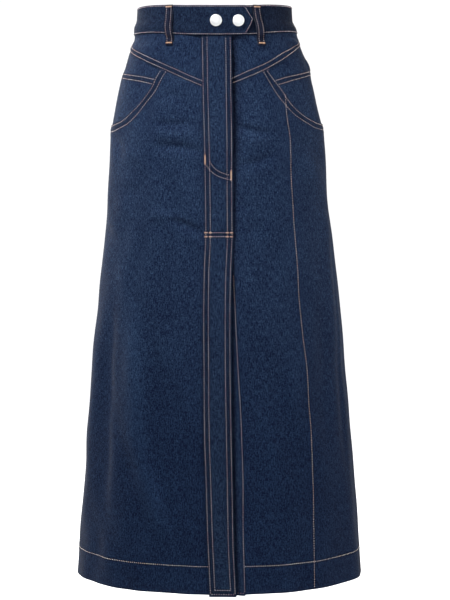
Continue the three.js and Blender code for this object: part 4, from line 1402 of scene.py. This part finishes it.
def makeSnap(name, node, x):
    drop, sides, rings = snapShape["drop"], snapShape["sides"], len(snapShape["profile"])
    turn, fall = snapProbe["turn"], snapProbe["fall"]
    angle = float(angleAt(x, drop))
    centre = Vector(clothPoints(angle, drop, waistband["lift"] + tabLift + cloth["layerGap"]))
    around = clothPoints(angle + turn, drop, 0) - clothPoints(angle - turn, drop, 0)
    down = clothPoints(angle, drop + fall, 0) - clothPoints(angle, drop - fall, 0)
    facing = Vector(np.cross(down, around)).to_track_quat("Z", "Y")
    turns = [2 * math.pi * k / sides for k in range(sides)]
    points = [Vector((radius * math.cos(t), radius * math.sin(t), height)) * mm
              for radius, height in snapShape["profile"] for t in turns]
    faces = [(ring + k, ring + (k + 1) % sides, ring + sides + (k + 1) % sides, ring + sides + k)
             for ring in range(0, (rings - 1) * sides, sides) for k in range(sides)]
    mesh = bpy.data.meshes.new(name)
    mesh.from_pydata([centre + facing @ point for point in points], [], faces)
    mesh.materials.append(snapMetal)
    mesh.shade_smooth()
    finishPiece(placed(name, mesh), node)


for name, (node, x) in snapShape["places"].items():
    makeSnap(name, node, x)
print("snaps made")

# floor, light and camera, in metres; each light has its place, aim, size and power
studio = {
    "floorDrop": 1.02,
    "floorRadius": 7.0,
    "floorSides": 96,
    "floorColour": (0.6, 0.6, 0.6),
    "floorRoughness": 0.9,
    "floorGlow": 0.95,
    "surround": 0.2,
    "backdrop": 1.05,
    "lights": {
        "keyLight": ((-0.75, -0.95, 1.36), (0, 0, -0.22), (0.55, 0.45), 54),
        "rightKey": ((1.9, -0.9, 0.05), (0.1, 0, -0.4), (0.8, 1.2), 20),
        "frontPanel": ((0.3, -4.4, 0.8), (0, 0, -0.2), (2.2, 1.5), 26),
        "backPanel": ((-1.5, 2.0, 1.5), (0, 0, -0.3), (0.9, 0.8), 44),
        "rimLeft": ((-1.9, 0.9, 0.1), (0, 0, -0.35), (0.8, 2.2), 26),
        "rimRight": ((1.9, 0.9, 0.1), (0, 0, -0.35), (0.8, 2.2), 10),
    },
}
cameraView = {"place": (0.012, -3.0, -0.2155), "pitchDown": 3.75, "lens": 120.8, "sensor": 36}


# one strength for what the camera sees and another for the light that is thrown
def seenOrThrown(tree, thrown, seen, socket):
    cameraRay = tree.node("ShaderNodeLightPath").outputs["Is Camera Ray"]
    tree.join(tree.range(cameraRay, (0, 1), (thrown, seen)), socket)


def makeFloor():
    mesh = bpy.data.meshes.new("studioFloor")
    sides, radius, height = studio["floorSides"], studio["floorRadius"], -studio["floorDrop"]
    rim = [2 * math.pi * k / sides for k in range(sides)]
    corners = [(radius * math.cos(turn), radius * math.sin(turn), height) for turn in rim]
    mesh.from_pydata(corners, [], [list(range(sides))])
    material, tree, shader = startMaterial("floorPaper")
    fill(shader, {"Base Color": opaque(studio["floorColour"]), "Roughness": studio["floorRoughness"],
                  "Emission Color": white})
    # it looks lit like the surround, but throws no light of its own at the cloth
    seenOrThrown(tree, 0.0, studio["floorGlow"], shader["Emission Strength"])
    mesh.materials.append(material)
    placed("studioFloor", mesh)


def makeLights():
    for name, (place, aim, size, power) in studio["lights"].items():
        data = bpy.data.lights.new(name, "AREA")
        data.shape = "RECTANGLE"
        data.size, data.size_y = size
        data.energy = power
        lamp = placed(name, data)
        lamp.location = place
        lamp.rotation_mode = "QUATERNION"
        lamp.rotation_quaternion = (Vector(aim) - lamp.location).to_track_quat("-Z", "Y")


# the camera sees plain white; the cloth gets a softer share of it
def makeSurround():
    world = bpy.data.worlds.new("studioSurround")
    world.use_nodes = True
    background = world.node_tree.nodes["Background"].inputs
    background["Color"].default_value = white
    seenOrThrown(ShaderTree(world.node_tree), studio["surround"], studio["backdrop"], background["Strength"])
    bpy.context.scene.world = world


def makeCamera():
    data = bpy.data.cameras.new("studioCamera")
    data.lens = cameraView["lens"]
    data.sensor_width = cameraView["sensor"]
    camera = placed("studioCamera", data)
    camera.location = cameraView["place"]
    camera.rotation_euler = ((90 - cameraView["pitchDown"]) * degree, 0, 0)
    bpy.context.scene.camera = camera


makeFloor()
makeLights()
makeSurround()
makeCamera()
bpy.context.scene.view_settings.view_transform = "Standard"
print("studio made")
